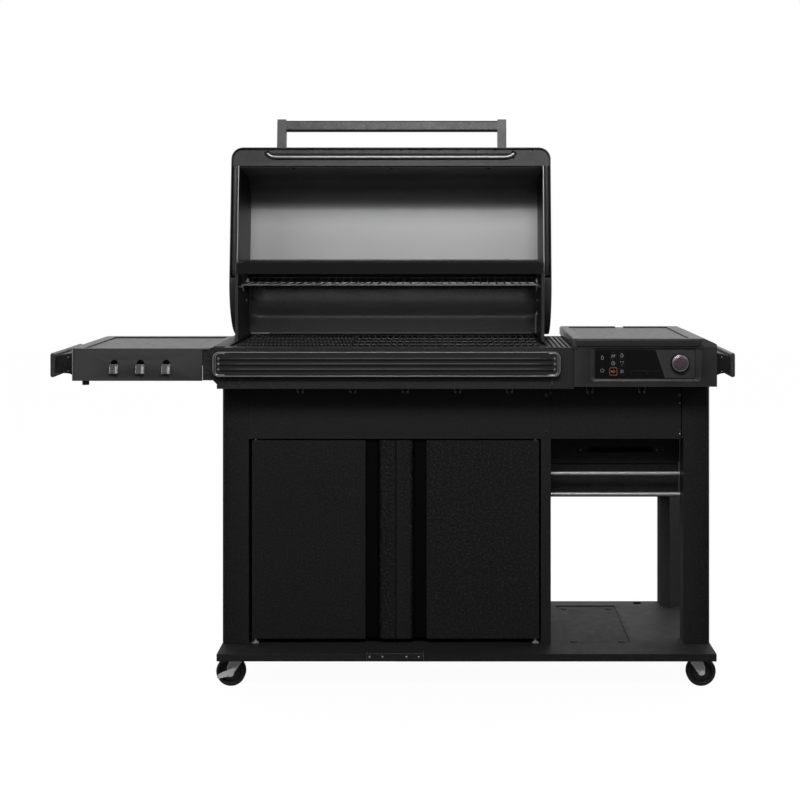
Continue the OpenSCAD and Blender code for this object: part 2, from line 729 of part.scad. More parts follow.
// Funnel from the hopper mouth down to the auger
module funnel(in, top) {
    mouth_x = [480 + in, 815 - in];
    mouth_y = [112 + in, 455 - in];
    throat_x = [545 + in, 637 - in];
    throat_y = [feed[0] - 22 + in, feed[0] + 22 - in];
    hull() {
        block(mouth_x, mouth_y, [812 + in, top]);
        block(throat_x, throat_y, [feed[1] + feed_r + 4, feed[1] + feed_r + 6]);
    }
}
module hopper_bin() placed() color("#2a2a2b") {
    difference() {
        funnel(0, hopper_top_z);
        funnel(2, hopper_top_z + 1);
        block([547, 635], [feed[0] - 20, feed[0] + 20], [feed[1] + feed_r - 10, 780]);
    }
}

module hopper_lid() {
    x = [463, hopper_x[1]];
    z = [hopper_top_z + 1, 900];
    y = [2, hopper_d];
    skin = 3;
    placed() color("#2b2b2d") {
        difference() {
            along_y(y) polygon([[x[0], z[0]], [x[0], z[1] - 4], [x[0] + 4, z[1]], [798, z[1]], [822, z[1] - 10],
                [x[1], z[0] + 7], [x[1], z[0]]]);
            along_y([y[0] + skin, y[1] - skin]) polygon([[x[0] + skin, z[0] - 1], [x[0] + skin, z[1] - 6],
                [x[0] + 7, z[1] - 6], [797, z[1] - 6], [820, z[1] - 14], [x[1] - skin, z[0] + 5],
                [x[1] - skin, z[0] - 1]]);
            along_z([z[1] - 3, z[1] + 1]) round_rect([486, 764], [24, 450], 6);
            block([620, 644], [440, 475], [z[1] - 3, z[1] + 1]);
        }
        for (px = hopper_knuckle_x) difference() {
            union() {
                rod_x([px, px + knuckle_w], hopper_hinge[0], hopper_hinge[1], 6);
                block([px, px + knuckle_w], [y[1], hopper_hinge[0]], [hopper_hinge[1] - 4, hopper_hinge[1] + 4]);
            }
            rod_x([px - 1, px + knuckle_w + 1], hopper_hinge[0], hopper_hinge[1], 3 + fit);
        }
    }
}

module auger_tube() placed() color("#57585a") difference() {
    rod_x([barrel_x + 67, 650], feed[0], feed[1], feed_r);
    rod_x([barrel_x + 60, 651], feed[0], feed[1], feed_r - 2.5);
    block([547, 635], [feed[0] - 20, feed[0] + 20], [feed[1] + 5, feed[1] + feed_r + 1]);
}

// Helical flight round a shaft
module auger_screw() {
    x = [barrel_x + 70, 640];
    flight_r = feed_r - 6;
    turns = 9;
    placed() color("#6a6b6d") {
        translate([x[0], feed[0], feed[1]]) rotate([0, 90, 0])
            linear_extrude(x[1] - x[0], twist = 360 * turns, slices = 12 * turns, segments = 1)
                polygon([[6, -3], [flight_r, -2.5], [flight_r, 2.5], [6, 3], [-6, 3], [-6, -3]]);
        rod_x([x[1], 668], feed[0], feed[1], 6);
    }
}

module auger_motor() placed() color("#3f4042") {
    difference() {
        block([650.2, 668], [feed[0] - 40, feed[0] + 40], [feed[1] - 40, feed[1] + 40]);
        rod_x([645, 670], feed[0], feed[1], 6 + fit);
    }
    rod_x([668, 740], feed[0], feed[1], 34);
}

fan_at = [430, 700];
fan_r = 52;
module blower_housing() placed() color("#2e2f31") {
    x = [divider_x, divider_x + 46];
    difference() {
        rod_x(x, fan_at[0], fan_at[1], fan_r);
        rod_x([x[0] + 2, x[1] - 2], fan_at[0], fan_at[1], fan_r - 2.5);
        rod_x([x[1] - 5, x[1] + 5], fan_at[0], fan_at[1], 26);
    }
    rod_x([x[0] + 2, x[0] + 10], fan_at[0], fan_at[1], 16);
    rod_x([x[0] + 10, x[0] + 40], fan_at[0], fan_at[1], 3);
}

// Bladed wheel that turns on the spindle of the blower
module blower_wheel() {
    x = [divider_x + 11, divider_x + 39];
    blade_n = 12;
    placed() color("#55575a") difference() {
        union() {
            rod_x([x[0], x[0] + 2], fan_at[0], fan_at[1], 45);
            rod_x(x, fan_at[0], fan_at[1], 8);
            for (i = [0:blade_n - 1]) translate([0, fan_at[0], fan_at[1]]) rotate([i * 360 / blade_n, 0, 0])
                block([x[0], x[1]], [-1, 1], [32, 44.5]);
        }
        rod_x([x[0] - 5, x[1] + 5], fan_at[0], fan_at[1], 3 + fit);
    }
}

// ---- Console ----

module console_housing() {
    z = [hopper_z0, hopper_top_z + 0.7];
    x = hopper_x;
    panel_x = [520, 774];
    panel_z = [799, 871];
    placed() color("#2d2d2f") difference() {
        block(x, [0, console_d], z);
        block([x[0] + sheet, x[1] - sheet], [sheet * 3.4, console_d + 1], [z[0] - 1, z[1] - sheet]);
        along_y([-1, 3.5]) round_rect([507, 792], [791, 876], 9);
        along_y([0, 20]) round_rect([panel_x[0] - 0.2, panel_x[1] + 0.2], [panel_z[0] - 0.2, panel_z[1] + 0.2], 3);
    }
}

module display_panel() placed() color("#0c0c0d") difference() {
    along_y([2.5, 14]) round_rect([520, 774], [799, 871], 3);
    rod_y(knob_at[0], [0, 15], knob_at[1], 5);
}

module control_knob() placed() color("#9d98a0") translate([knob_at[0], 0, knob_at[1]]) rotate([-90, 0, 0]) {
    rotate_extrude($fn = 72) polygon([[0, -14.8], [16, -14.8], [18, -13.6], [20, -14.4], [23, -12.8],
        [24, -10.5], [24, 0.5], [22, 1.8], [5 - fit, 1.8], [5 - fit, 12], [0, 12]]);
}

// ---- Casters ----

function caster_x(left) = left ? caster_left_x : caster_right_x;
function caster_side(left) = left ? -1 : 1;

module caster_plates() placed() color("#b6b8ba") for (left = [true, false], y = caster_y) {
    x = caster_x(left);
    block([x - 29, x + 29], [y - 29, y + 29], [deck_z - deck_t - 4, deck_z - deck_t]);
    rod_z(x, y, [76.4, deck_z - deck_t - 4], kingpin_r);
    rod_z(x, y, [76.4, 78.6], 9.5);
}

// Swivel fork with its axle; the wheel trails to one side
module caster_fork(left, y, brake) {
    axle_x = trail;
    arm_y = wheel_w / 2 + 1.8;
    arm_t = 2.7;
    axle_front = brake ? -arm_y - 11 : -arm_y - arm_t - 2.5;
    placed() color("#c4c6c8") translate([caster_x(left), y, 0]) mirror([left ? 1 : 0, 0, 0]) {
        difference() {
            union() {
                rod_z(0, 0, [79, 83.5], 22);
                rod_z(0, 0, [83.5, deck_z - deck_t - 4 - gap], 15);
                for (side = [[-arm_y - arm_t, -arm_y], [arm_y, arm_y + arm_t]]) along_y(side) {
                    polygon([[-14, 83.5], [18, 83.5], [31, 52], [axle_x + 8.6, wheel_r - 2],
                        [axle_x - 8.4, wheel_r - 3], [-14, 74]]);
                    translate([axle_x, wheel_r]) circle(9);
                }
            }
            rod_z(0, 0, [70, 90], kingpin_r + fit);
        }
        rod_y(axle_x, [axle_front, arm_y + arm_t + 2.5], wheel_r, axle_r);
        rod_y(axle_x, [arm_y + arm_t, arm_y + arm_t + 2.5], wheel_r, 6.5);
        rod_y(axle_x, [axle_front - 2.5, axle_front], wheel_r, 6.5);
    }
}
module caster_fork_fl() caster_fork(true, caster_y[0], true);
module caster_fork_fr() caster_fork(false, caster_y[0], false);
module caster_fork_rl() caster_fork(true, caster_y[1], true);
module caster_fork_rr() caster_fork(false, caster_y[1], false);

module caster_wheel(left, y) {
    bore = axle_r + fit;
    tread = wheel_w / 2;
    hub = tread + 1.5;
    placed() color("#1d1d1e") translate([caster_x(left) + caster_side(left) * trail, y, wheel_r])
        rotate([90, 0, 0]) rotate_extrude($fn = 72) polygon([[bore, -hub], [11, -hub], [12, -hub + 2.5],
            [wheel_r - 13, -7], [wheel_r - 11, -tread + 1.5], [wheel_r - 9, -tread], [wheel_r - 3, -tread],
            [wheel_r - 0.8, -tread + 2.4], [wheel_r, -tread + 5], [wheel_r, tread - 5],
            [wheel_r - 0.8, tread - 2.4], [wheel_r - 3, tread], [wheel_r - 9, tread],
            [wheel_r - 11, tread - 1.5], [wheel_r - 13, 7], [12, hub - 2.5], [11, hub], [bore, hub]]);
}
module caster_wheel_fl() caster_wheel(true, caster_y[0]);
module caster_wheel_fr() caster_wheel(false, caster_y[0]);
module caster_wheel_rl() caster_wheel(true, caster_y[1]);
module caster_wheel_rr() caster_wheel(false, caster_y[1]);

// Pedal of the wheel brake, on the front end of the axle
module brake_lever(y) {
    front = y - wheel_w / 2 - 12.3;
    placed() color("#d9dadc") translate([caster_left_x - trail, 0, wheel_r]) {
        difference() {
            along_y([front, front + 2.5]) {
                circle(10);
                polygon([[-6, -9], [9, 4], [2, 9], [-16, 4], [-31, -4], [-33, -9], [-27, -13], [-14, -11]]);
                polygon([[-3, 3], [7, 0], [16, 12], [12, 16], [6, 15]]);
            }
            rod_y(0, [front - 5, front + 10], 0, axle_r + fit);
        }
        difference() {
            along_y([front - 7, front]) polygon([[-33, -9], [-27, -13], [-25, -11], [-31, -6]]);
            rod_y(0, [front - 9, front + 10], 0, 22);
        }
    }
}
module brake_lever_front() brake_lever(caster_y[0]);
module brake_lever_rear() brake_lever(caster_y[1]);

// Button head screw that points along -Y, seated on the plane y = face
module screw(x, face, z) translate([x, face, z]) rotate([90, 0, 0]) difference() {
    union() {
        cylinder(h = 1.4, r = 4.5);
        cylinder(h = 2.4, r = 3.2);
    }
    translate([0, 0, 1.2]) cylinder(h = 2, r = 1.6, $fn = 6);
}
module panel_screws() placed() color("#8c8e91") {
    for (x = [-54, -23, 39, 71]) screw(x, -2, 85);
    for (x = [-390, -266]) screw(x, fascia_y, 786);
    for (z = [812, 848]) screw(-472, fascia_y, z);
    for (x = [401, 750], z = [652, 745]) screw(x, leg_y, z);
}

base_deck_left();
base_deck_right();
deck_joint_plate();
front_legs();
rear_legs();
side_panels();
divider_wall();
back_panels();
front_aprons();
bin_rails();
door_hinge_pins();
door_left();
door_right();
front_fascia();
accessory_clips();
front_rail();
cook_chamber();
chamber_hood();
lid_hinge_pins();
chamber_trim();
vent_grille();
exhaust_cover();
fire_pot();
heat_baffle();
drip_tray();
cooking_grate_left();
cooking_grate_right();
warming_rack();
temperature_probe();
lid_shell();
lid_liner();
lid_front_panel();
lid_handle();
side_shelf();
shelf_hooks();
side_handles();
hopper_housing();
hopper_bin();
hopper_lid();
power_inlet();
auger_tube();
auger_screw();
auger_motor();
blower_housing();
blower_wheel();
console_housing();
display_panel();
control_knob();
caster_plates();
caster_fork_fl();
caster_fork_fr();
caster_fork_rl();
caster_fork_rr();
caster_wheel_fl();
caster_wheel_fr();
caster_wheel_rl();
caster_wheel_rr();
brake_lever_front();
brake_lever_rear();
panel_screws();
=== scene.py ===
"""Looks of the pellet smoker grill: materials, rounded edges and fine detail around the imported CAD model."""

import json
import math

import bmesh
import bpy
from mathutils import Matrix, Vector


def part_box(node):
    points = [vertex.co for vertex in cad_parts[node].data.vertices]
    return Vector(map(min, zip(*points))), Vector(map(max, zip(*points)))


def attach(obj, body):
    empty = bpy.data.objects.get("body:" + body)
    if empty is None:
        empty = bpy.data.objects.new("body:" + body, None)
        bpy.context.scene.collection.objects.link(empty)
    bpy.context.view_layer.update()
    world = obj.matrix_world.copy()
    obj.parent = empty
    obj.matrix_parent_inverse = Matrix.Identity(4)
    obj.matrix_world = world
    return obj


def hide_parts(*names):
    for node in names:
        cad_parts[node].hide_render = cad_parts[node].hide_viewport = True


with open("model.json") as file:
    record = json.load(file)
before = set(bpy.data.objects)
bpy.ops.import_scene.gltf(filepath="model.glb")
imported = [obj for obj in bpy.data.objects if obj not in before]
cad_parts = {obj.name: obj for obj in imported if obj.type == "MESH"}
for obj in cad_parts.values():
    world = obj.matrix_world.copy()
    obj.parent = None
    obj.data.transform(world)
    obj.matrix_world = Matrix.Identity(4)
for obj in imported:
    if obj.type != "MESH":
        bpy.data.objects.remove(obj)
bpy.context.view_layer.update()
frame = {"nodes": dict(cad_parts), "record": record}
NODES = frame["nodes"]
scene = bpy.context.scene
scene.view_settings.view_transform = "Standard"

# The CAD's building frame has y = 0 at the front of the deck. Lengths below are in mm in that frame.
DEPTH_SHIFT = -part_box("base_deck_left")[0].y * 1000
HINGE = (404.0, 1029.0)  # y and z of the lid's axis, which is also the barrel's axis
LID_ANGLE = math.radians(97)  # from shut to raised
BARREL_X = -13.0  # middle of the chamber
FRONT = Vector((0, -1, 0))


def P(x, y, z):
    """A point of the building frame in metres of the shared frame."""
    return Vector((x / 1000, (y - DEPTH_SHIFT) / 1000, z / 1000))


def L(x, y, z):
    """A point of the shut lid, turned to its raised place."""
    dy, dz = y - HINGE[0], z - HINGE[1]
    c, s = math.cos(LID_ANGLE), math.sin(LID_ANGLE)
    return P(x, HINGE[0] + c * dy + s * dz, HINGE[1] - s * dy + c * dz)


# ---- Materials ----


class Graph:
    """A small helper that adds nodes to a material and joins them."""

    def __init__(self, name):
        self.m = bpy.data.materials.new(name)
        self.m.use_nodes = True
        self.t = self.m.node_tree
        self.b = self.t.nodes["Principled BSDF"]
        self.coord = self.t.nodes.new("ShaderNodeTexCoord").outputs["Object"]

    def node(self, kind, **values):
        n = self.t.nodes.new(kind)
        for k, v in values.items():
            if k in n.inputs:
                n.inputs[k].default_value = v
            else:
                setattr(n, k, v)
        return n

    def link(self, a, b):
        self.t.links.new(a, b)

    def into(self, value, socket):
        self.link(value, self.b.inputs[socket])

    def noise(self, scale, detail=4.0, stretch=(1, 1, 1), rough=0.55):
        mapping = self.node("ShaderNodeMapping", Scale=stretch)
        self.link(self.coord, mapping.inputs["Vector"])
        n = self.node("ShaderNodeTexNoise", Scale=scale, Detail=detail, Roughness=rough)
        self.link(mapping.outputs[0], n.inputs["Vector"])
        return n.outputs["Fac"]

    def along(self, axis, vector=None):
        n = self.node("ShaderNodeSeparateXYZ")
        self.link(vector or self.coord, n.inputs[0])
        return n.outputs[axis]

    def spread(self, value, lo, hi, to_lo=0.0, to_hi=1.0):
        n = self.node("ShaderNodeMapRange")
        n.inputs["From Min"].default_value = lo
        n.inputs["From Max"].default_value = hi
        n.inputs["To Min"].default_value = to_lo
        n.inputs["To Max"].default_value = to_hi
        self.link(value, n.inputs["Value"])
        return n.outputs[0]

    def mix(self, fac, a, b):
        n = self.node("ShaderNodeMix", data_type="RGBA")
        for socket, v in ((n.inputs[6], a), (n.inputs[7], b)):
            if isinstance(v, tuple):
                socket.default_value = (*v, 1)
            else:
                self.link(v, socket)
        self.link(fac, n.inputs[0])
        return n.outputs[2]

    def worn_edge(self, lo=0.515, hi=0.6):
        geometry = self.node("ShaderNodeNewGeometry")
        return self.spread(geometry.outputs["Pointiness"], lo, hi)

    def bump(self, height, strength, distance, under=None):
        n = self.node("ShaderNodeBump", Strength=strength, Distance=distance)
        self.link(height, n.inputs["Height"])
        if under is not None:
            self.link(under, n.inputs["Normal"])
        return n.outputs[0]

    def surface(self, metallic=0.0, specular=0.5, coat=0.0, coat_rough=0.1):
        self.b.inputs["Metallic"].default_value = metallic
        self.b.inputs["Specular IOR Level"].default_value = specular
        self.b.inputs["Coat Weight"].default_value = coat
        self.b.inputs["Coat Roughness"].default_value = coat_rough


# Stretch of the noise that draws the lines of a metal: along x, along x but coarser, along y, and in flat layers
ALONG_X, COARSE_X, ALONG_Y, LAYERED = (1, 60, 60), (1, 40, 40), (30, 1, 30), (6, 6, 40)
LINING_LIGHT_Z = (1.04, 0.87)  # heights in metres between which a painted light turns the chamber lining from dark to pale towards its foot
# Painted shade at the bottom of the door grooves: its tone and its specular level
GROOVE_SHADE_TONE, GROOVE_SHADE_SPECULAR = (0.004, 0.004, 0.0042), 0.13
FINE_DEPTH = 0.0002  # metres of relief of drawn lines and moulded grain


def scaled(color, k, plus=0.0):
    return tuple(c * k + plus for c in color)


def coated(name, color, worn, rough, specular=0.5, grain=850, grain_strength=0.35, depth=0.00025,
           mottle=0.25, coat=0.0, speck=0.6, flake=0.02, lit_foot_tone=None, groove_shade_span=None):
    """Powder coat or enamel: pale flakes, fine orange peel, slow changes of tone, paler where an edge is rubbed.

    The second-to-last argument is a painted light: a paler tone towards the foot of the chamber lining. The last
    argument is a painted shade: the range of y, in metres on the node's own axes, over which the bottom of a groove
    is painted dark.
    """
    g = Graph(name)
    cloud = g.spread(g.noise(9, 5), 0.35, 0.65)
    base = g.mix(cloud, scaled(color, 1 - mottle), scaled(color, 1 + mottle))
    pebble = g.noise(190, 4, rough=0.85)
    base = g.mix(g.spread(pebble, 0.5, 0.61, 0, speck), base, scaled(color, 3.0, flake))
    # Painted light: the chamber lining turns paler towards its foot
    if lit_foot_tone:
        base = g.mix(g.spread(g.along("Z"), *LINING_LIGHT_Z), base, lit_foot_tone)
    base = g.mix(g.worn_edge(), base, worn)
    # Painted shade: the bottom of a groove goes dark
    if groove_shade_span:
        groove_shade_y = g.along("Y")
        base = g.mix(g.spread(groove_shade_y, *groove_shade_span), base, GROOVE_SHADE_TONE)
        g.into(g.spread(groove_shade_y, *groove_shade_span, specular, GROOVE_SHADE_SPECULAR), "Specular IOR Level")
    g.into(base, "Base Color")
    peel = g.noise(grain, 2)
    scuff = g.noise(38, 6, rough=0.7)
    g.into(g.spread(scuff, 0.3, 0.7, rough - 0.05, rough + 0.07), "Roughness")
    fine = g.bump(peel, grain_strength, depth * 0.6)
    g.into(g.bump(pebble, min(1, grain_strength), depth * 0.9, fine), "Normal")
    g.surface(0.0, specular, coat, 0.18)
    return g.m


def metal(name, color, dark, rough, stretch=ALONG_X, scale=6.0, scratch=0.02, stain=0.35, metallic=1.0,
          side_shade_tone=None):
    """Bare metal with drawn or rolled lines along one direction and faint stains.

    The last argument is a painted shade: the darker tone of faces that look along x, such as the end caps of the
    lid's liner.
    """
    g = Graph(name)
    lines = g.noise(scale * 10, 3, stretch, 0.6)
    cloud = g.spread(g.noise(11, 6, rough=0.65), 0.38, 0.68)
    base = g.mix(g.spread(cloud, 0, 1, 0, stain), color, dark)
    base = g.mix(g.spread(lines, 0.3, 0.7, 0, 0.25), base, dark)
    rubbed = tuple(min(1, c * 1.25) for c in color)
    base = g.mix(g.spread(g.worn_edge(0.53, 0.62), 0, 1, 0, 0.5), base, rubbed)
    # Painted shade: faces that look along x are darker
    if side_shade_tone:
        normal = g.node("ShaderNodeNewGeometry").outputs["True Normal"]
        size = g.node("ShaderNodeMath", operation="ABSOLUTE")
        g.link(g.along("X", normal), size.inputs[0])
        base = g.mix(g.spread(size.outputs[0], 0.6, 0.8), base, side_shade_tone)
    g.into(base, "Base Color")
    g.into(g.spread(lines, 0.25, 0.75, rough - 0.06, rough + 0.1), "Roughness")
    g.into(g.bump(lines, scratch, FINE_DEPTH), "Normal")
    g.surface(metallic)
    return g.m


def moulded(name, color, rough, specular=0.5, grain=1400, coat=0.0, wear=(0.1, 0.1, 0.1)):
    """Plastic or rubber with a fine moulded texture and dusty patches."""
    g = Graph(name)
    cloud = g.spread(g.noise(24, 5, rough=0.65), 0.35, 0.7)
    base = g.mix(cloud, scaled(color, 0.8), scaled(color, 1.3))
    base = g.mix(g.worn_edge(0.52, 0.62), base, wear)
    g.into(base, "Base Color")
    g.into(g.spread(cloud, 0, 1, rough - 0.04, rough + 0.08), "Roughness")
    g.into(g.bump(g.noise(grain, 2), 0.25, FINE_DEPTH), "Normal")
    g.surface(0.0, specular, coat, 0.05)
    return g.m


def glowing(name, color, power):
    """A lit symbol of the screen."""
    g = Graph(name)
    shade = g.mix(g.noise(300, 2), scaled(color, 0.8), color)
    g.into(shade, "Base Color")
    g.into(shade, "Emission Color")
    g.b.inputs["Emission Strength"].default_value = power
    g.b.inputs["Roughness"].default_value = 0.35
    return g.m


black = coated("black_textured", (0.0055, 0.0055, 0.0058), (0.045, 0.045, 0.047), rough=0.44, specular=0.27,
               grain=700, grain_strength=0.55, depth=0.0003, speck=0.9, flake=0.034)
# The doors carry a painted shade at the bottom of their grooves
door_black = coated("door_black", (0.0042, 0.0042, 0.0045), (0.035, 0.035, 0.037), rough=0.46, specular=0.17,
                    grain=620, grain_strength=0.45, depth=0.0003, speck=0.9, flake=0.08, groove_shade_span=(-0.2035, -0.198))
lid_black = coated("lid_enamel", (0.011, 0.011, 0.012), (0.07, 0.07, 0.072), rough=0.34,
                   grain=1100, grain_strength=0.25, depth=0.00018)
chamber_black = coated("chamber_enamel", (0.02, 0.02, 0.0205), (0.09, 0.09, 0.09), rough=0.4, specular=0.55,
                       grain=460, grain_strength=0.7, depth=0.0004, mottle=0.4)
# The chamber lining is painted paler towards its foot, a painted light
lining_mat = coated("chamber_lining", (0.03, 0.03, 0.0305), (0.1, 0.1, 0.1), rough=0.42,
                    grain=460, grain_strength=0.7, depth=0.0004, mottle=0.3, lit_foot_tone=(0.1, 0.1, 0.1))
flange_black = coated("flange_enamel", (0.0025, 0.0025, 0.0026), (0.06, 0.06, 0.06), rough=0.72, specular=0.08,
                      grain=500, grain_strength=0.9, depth=0.0004, mottle=0.4, speck=0.2, flake=0.012)
charcoal = coated("shelf_charcoal", (0.022, 0.022, 0.0235), (0.11, 0.11, 0.112), rough=0.36, specular=0.55,
                  grain=900, grain_strength=0.4, depth=0.00022)
handle_mat = coated("handle_dark", (0.03, 0.03, 0.032), (0.16, 0.16, 0.165), rough=0.33, specular=0.6,
                    grain=1000, grain_strength=0.25, depth=0.00018)
grate_mat = coated("grate_enamel", (0.022, 0.022, 0.0225), (0.09, 0.088, 0.086), rough=0.34,
                   grain=500, grain_strength=0.5, depth=0.0003, mottle=0.5, coat=0.1)
fire_mat = coated("fire_steel", (0.05, 0.046, 0.042), (0.14, 0.12, 0.1), rough=0.6, specular=0.4,
                  grain=160, grain_strength=0.8, depth=0.0008, mottle=0.6)
deck_black = coated("deck_black", (0.006, 0.006, 0.0063), (0.045, 0.045, 0.047), rough=0.56, specular=0.22,
                    grain=600, grain_strength=0.6, depth=0.0003)
# The fascia lies in the rail's shadow and is painted paler than the other black panels, a painted light
fascia_lightened_mat = coated("fascia_black_lightened", (0.014, 0.014, 0.0145), (0.06, 0.06, 0.06), rough=0.4, specular=0.45,
                    grain=600, grain_strength=0.6, depth=0.0003, flake=0.06)
gap_shadow_mat = coated("joint_shadow", (0.0012, 0.0012, 0.0012), (0.004, 0.004, 0.004), rough=0.7, specular=0.1,
                 speck=0.1)
# Near black: the dark finish of the drip tray and heat baffle deepened by painted shade, and the painted shade behind
# the exhaust slot
pit_black_and_shade_mat = coated("pit_black_and_shade", (0.003, 0.003, 0.003), (0.02, 0.02, 0.02), rough=0.6, specular=0.15, speck=0.3)

# The liner's end caps are painted darker than its back, a painted shade
liner_mat = metal("liner_steel", (0.42, 0.42, 0.425), (0.34, 0.34, 0.345), rough=0.44, stretch=(60, 1, 60),
                  scale=4.0, scratch=0.03, stain=0.15, side_shade_tone=(0.045, 0.045, 0.047))
zinc_mat = metal("zinc_steel", (0.82, 0.825, 0.83), (0.5, 0.5, 0.5), rough=0.32, stretch=LAYERED,
                 scale=5.0, scratch=0.1, metallic=0.5)
caster_mat = metal("caster_zinc", (0.9, 0.9, 0.91), (0.55, 0.55, 0.56), rough=0.3, stretch=LAYERED,
                   scale=5.0, scratch=0.06, metallic=0.0)
bright_mat = metal("bright_steel", (0.78, 0.785, 0.79), (0.6, 0.605, 0.61), rough=0.3, stretch=ALONG_X, stain=0.15)
bar_mat = metal("bay_bars", (0.8, 0.8, 0.805), (0.6, 0.6, 0.605), rough=0.36, stretch=ALONG_X, stain=0.15,
                metallic=0.5)
rail_mat = metal("rail_dark", (0.075, 0.075, 0.078), (0.05, 0.05, 0.052), rough=0.46, stretch=(1, 70, 70),
                 metallic=0.7)
# Pale metal for the rail's bright trim, and for painted highlights on the rail's rib ends and on the clip edges
trim_and_highlight_mat = metal("rail_edge", (0.62, 0.62, 0.63), (0.45, 0.45, 0.455), rough=0.36, stretch=ALONG_X,
                      metallic=0.75)
# Pale satin metal for the painted highlight of the lid rim's pressed rib
rib_highlight_mat = metal("rib_satin_highlight", (0.4, 0.4, 0.405), (0.3, 0.3, 0.305), rough=0.34, stretch=COARSE_X, scale=5.0)
rack_mat = metal("rack_wire", (0.34, 0.335, 0.33), (0.12, 0.115, 0.11), rough=0.32, stretch=(1, 30, 30),
                 scale=5.0, scratch=0.1)
inner_mat = metal("inner_steel", (0.4, 0.41, 0.42), (0.22, 0.225, 0.23), rough=0.38, stretch=COARSE_X,
                  scale=5.0, scratch=0.1)
dark_steel = metal("dark_screws", (0.16, 0.16, 0.165), (0.07, 0.07, 0.07), rough=0.35, stretch=(20, 20, 20),
                   scale=8.0, scratch=0.1)
knob_mat = metal("knob_metal", (0.46, 0.36, 0.43), (0.28, 0.22, 0.27), rough=0.26, stretch=ALONG_Y,
                 scratch=0.08, metallic=0.9)
knob_dark = metal("knob_skirt", (0.05, 0.048, 0.052), (0.03, 0.03, 0.031), rough=0.3, stretch=ALONG_Y, scratch=0.08)

hopper_mat = moulded("hopper_charcoal", (0.02, 0.02, 0.0215), rough=0.38, grain=1000)
bezel_mat = moulded("bezel_grey", (0.055, 0.055, 0.058), rough=0.34, grain=1200)
plate_mat = moulded("plate_grey", (0.06, 0.06, 0.065), rough=0.36, grain=1500)
glass_mat = moulded("display_black", (0.004, 0.004, 0.0045), rough=0.14, specular=0.3, grain=300, coat=0.2,
                    wear=(0.02, 0.02, 0.02))
socket_mat = moulded("socket_plastic", (0.02, 0.02, 0.02), rough=0.5)
rubber_mat = moulded("wheel_black", (0.013, 0.013, 0.0135), rough=0.5, specular=0.45, grain=700,
                     wear=(0.05, 0.05, 0.05))

tile_mat = glowing("screen_line", (0.016, 0.018, 0.024), power=0.5)
icon_mat = glowing("screen_icon", (0.3, 0.3, 0.31), power=0.35)
amber_mat = glowing("screen_amber", (0.55, 0.13, 0.05), power=0.5)

SLOT_MATERIAL = {
    "black_textured": black, "door_black": door_black, "lid_enamel": lid_black, "chamber_enamel": chamber_black,
    "liner_steel": liner_mat, "zinc_steel": zinc_mat, "bright_steel": bright_mat, "rail_dark": rail_mat,
    "handle_dark": handle_mat, "shelf_charcoal": charcoal, "hopper_charcoal": hopper_mat,
    "grate_enamel": grate_mat, "rack_wire": rack_mat, "fire_steel": fire_mat, "inner_steel": inner_mat,
    "display_black": glass_mat, "knob_metal": knob_mat, "socket_plastic": socket_mat, "wheel_black": rubber_mat,
}
# Nodes that look different from the rest of their slot
CASTER_ARMS = [n for n in NODES if n.startswith(("caster_fork", "brake_lever"))]
OWN_MATERIAL = {
    "front_fascia": fascia_lightened_mat, "drip_tray": pit_black_and_shade_mat, "heat_baffle": pit_black_and_shade_mat, "bin_rails": bar_mat,
    "panel_screws": dark_steel, "base_deck_left": deck_black, "base_deck_right": deck_black,
    "deck_joint_plate": deck_black, **{n: caster_mat for n in CASTER_ARMS},
}

# Width in mm of the rounded edges of CAD nodes. The nodes in PLAIN keep sharp edges, because their thin walls and
# large flat faces shade badly after a bevel, or because finer wires are drawn in their place.
ROUNDED = {
    "lid_handle": 1.2, "door_left": 0.7, "door_right": 0.7, "console_housing": 1.2, "front_legs": 1.0,
    "base_deck_left": 1.0, "base_deck_right": 1.0, "deck_joint_plate": 0.7, "panel_screws": 0.25,
    "shelf_hooks": 0.4, "display_panel": 0.5, "chamber_hood": 1.2, "lid_liner": 0.5, "blower_wheel": 0.2,
    **{n: 0.4 for n in CASTER_ARMS},
}
ROUNDED_REST = 0.6
PLAIN = {"auger_screw", "back_panels", "side_shelf", "lid_shell", "hopper_lid", "cooking_grate_left",
         "cooking_grate_right", "warming_rack"}


def finish_edges(o, width):
    """Smooth shading with a rounded edge of the given width in mm, or none at 0."""
    for p in o.data.polygons:
        p.use_smooth = True
    if "custom_normal" in o.data.attributes:
        o.data.attributes.remove(o.data.attributes["custom_normal"])
    weld = o.modifiers.new("weld", "WELD")
    weld.merge_threshold = 0.00001
    if width:
        flat = o.modifiers.new("flat", "DECIMATE")
        flat.decimate_type = "DISSOLVE"
        flat.angle_limit = math.radians(0.4)
        bevel = o.modifiers.new("bevel", "BEVEL")
        bevel.width = width / 1000
        bevel.segments = 2
        bevel.limit_method = "ANGLE"
        bevel.angle_limit = math.radians(32)
        bevel.use_clamp_overlap = True
    split = o.modifiers.new("split", "EDGE_SPLIT")
    split.split_angle = math.radians(50)
    normal = o.modifiers.new("normal", "WEIGHTED_NORMAL")
    normal.weight = 100
    normal.keep_sharp = True


for part in frame["record"]["subparts"]:
    o = NODES[part["node"]]
    o.data.materials.clear()
    o.data.materials.append(OWN_MATERIAL.get(o.name, SLOT_MATERIAL[part["material_slot"]]))
    finish_edges(o, 0 if o.name in PLAIN else ROUNDED.get(o.name, ROUNDED_REST))

# ---- Camera, lights and world ----

# A level camera in front of the open lid, with the picture shifted down onto the grill
camera = bpy.data.cameras.new("camera")
camera.lens = 68.7
camera.sensor_width = 36
camera.shift_x = -0.05875
camera.shift_y = -0.2225
camera.clip_end = 60
camera_at = bpy.data.objects.new("camera", camera)
camera_at.location = (0.141, -4.2032, 1.198)
camera_at.rotation_euler = (math.radians(90), 0, 0)
scene.collection.objects.link(camera_at)
scene.camera = camera_at


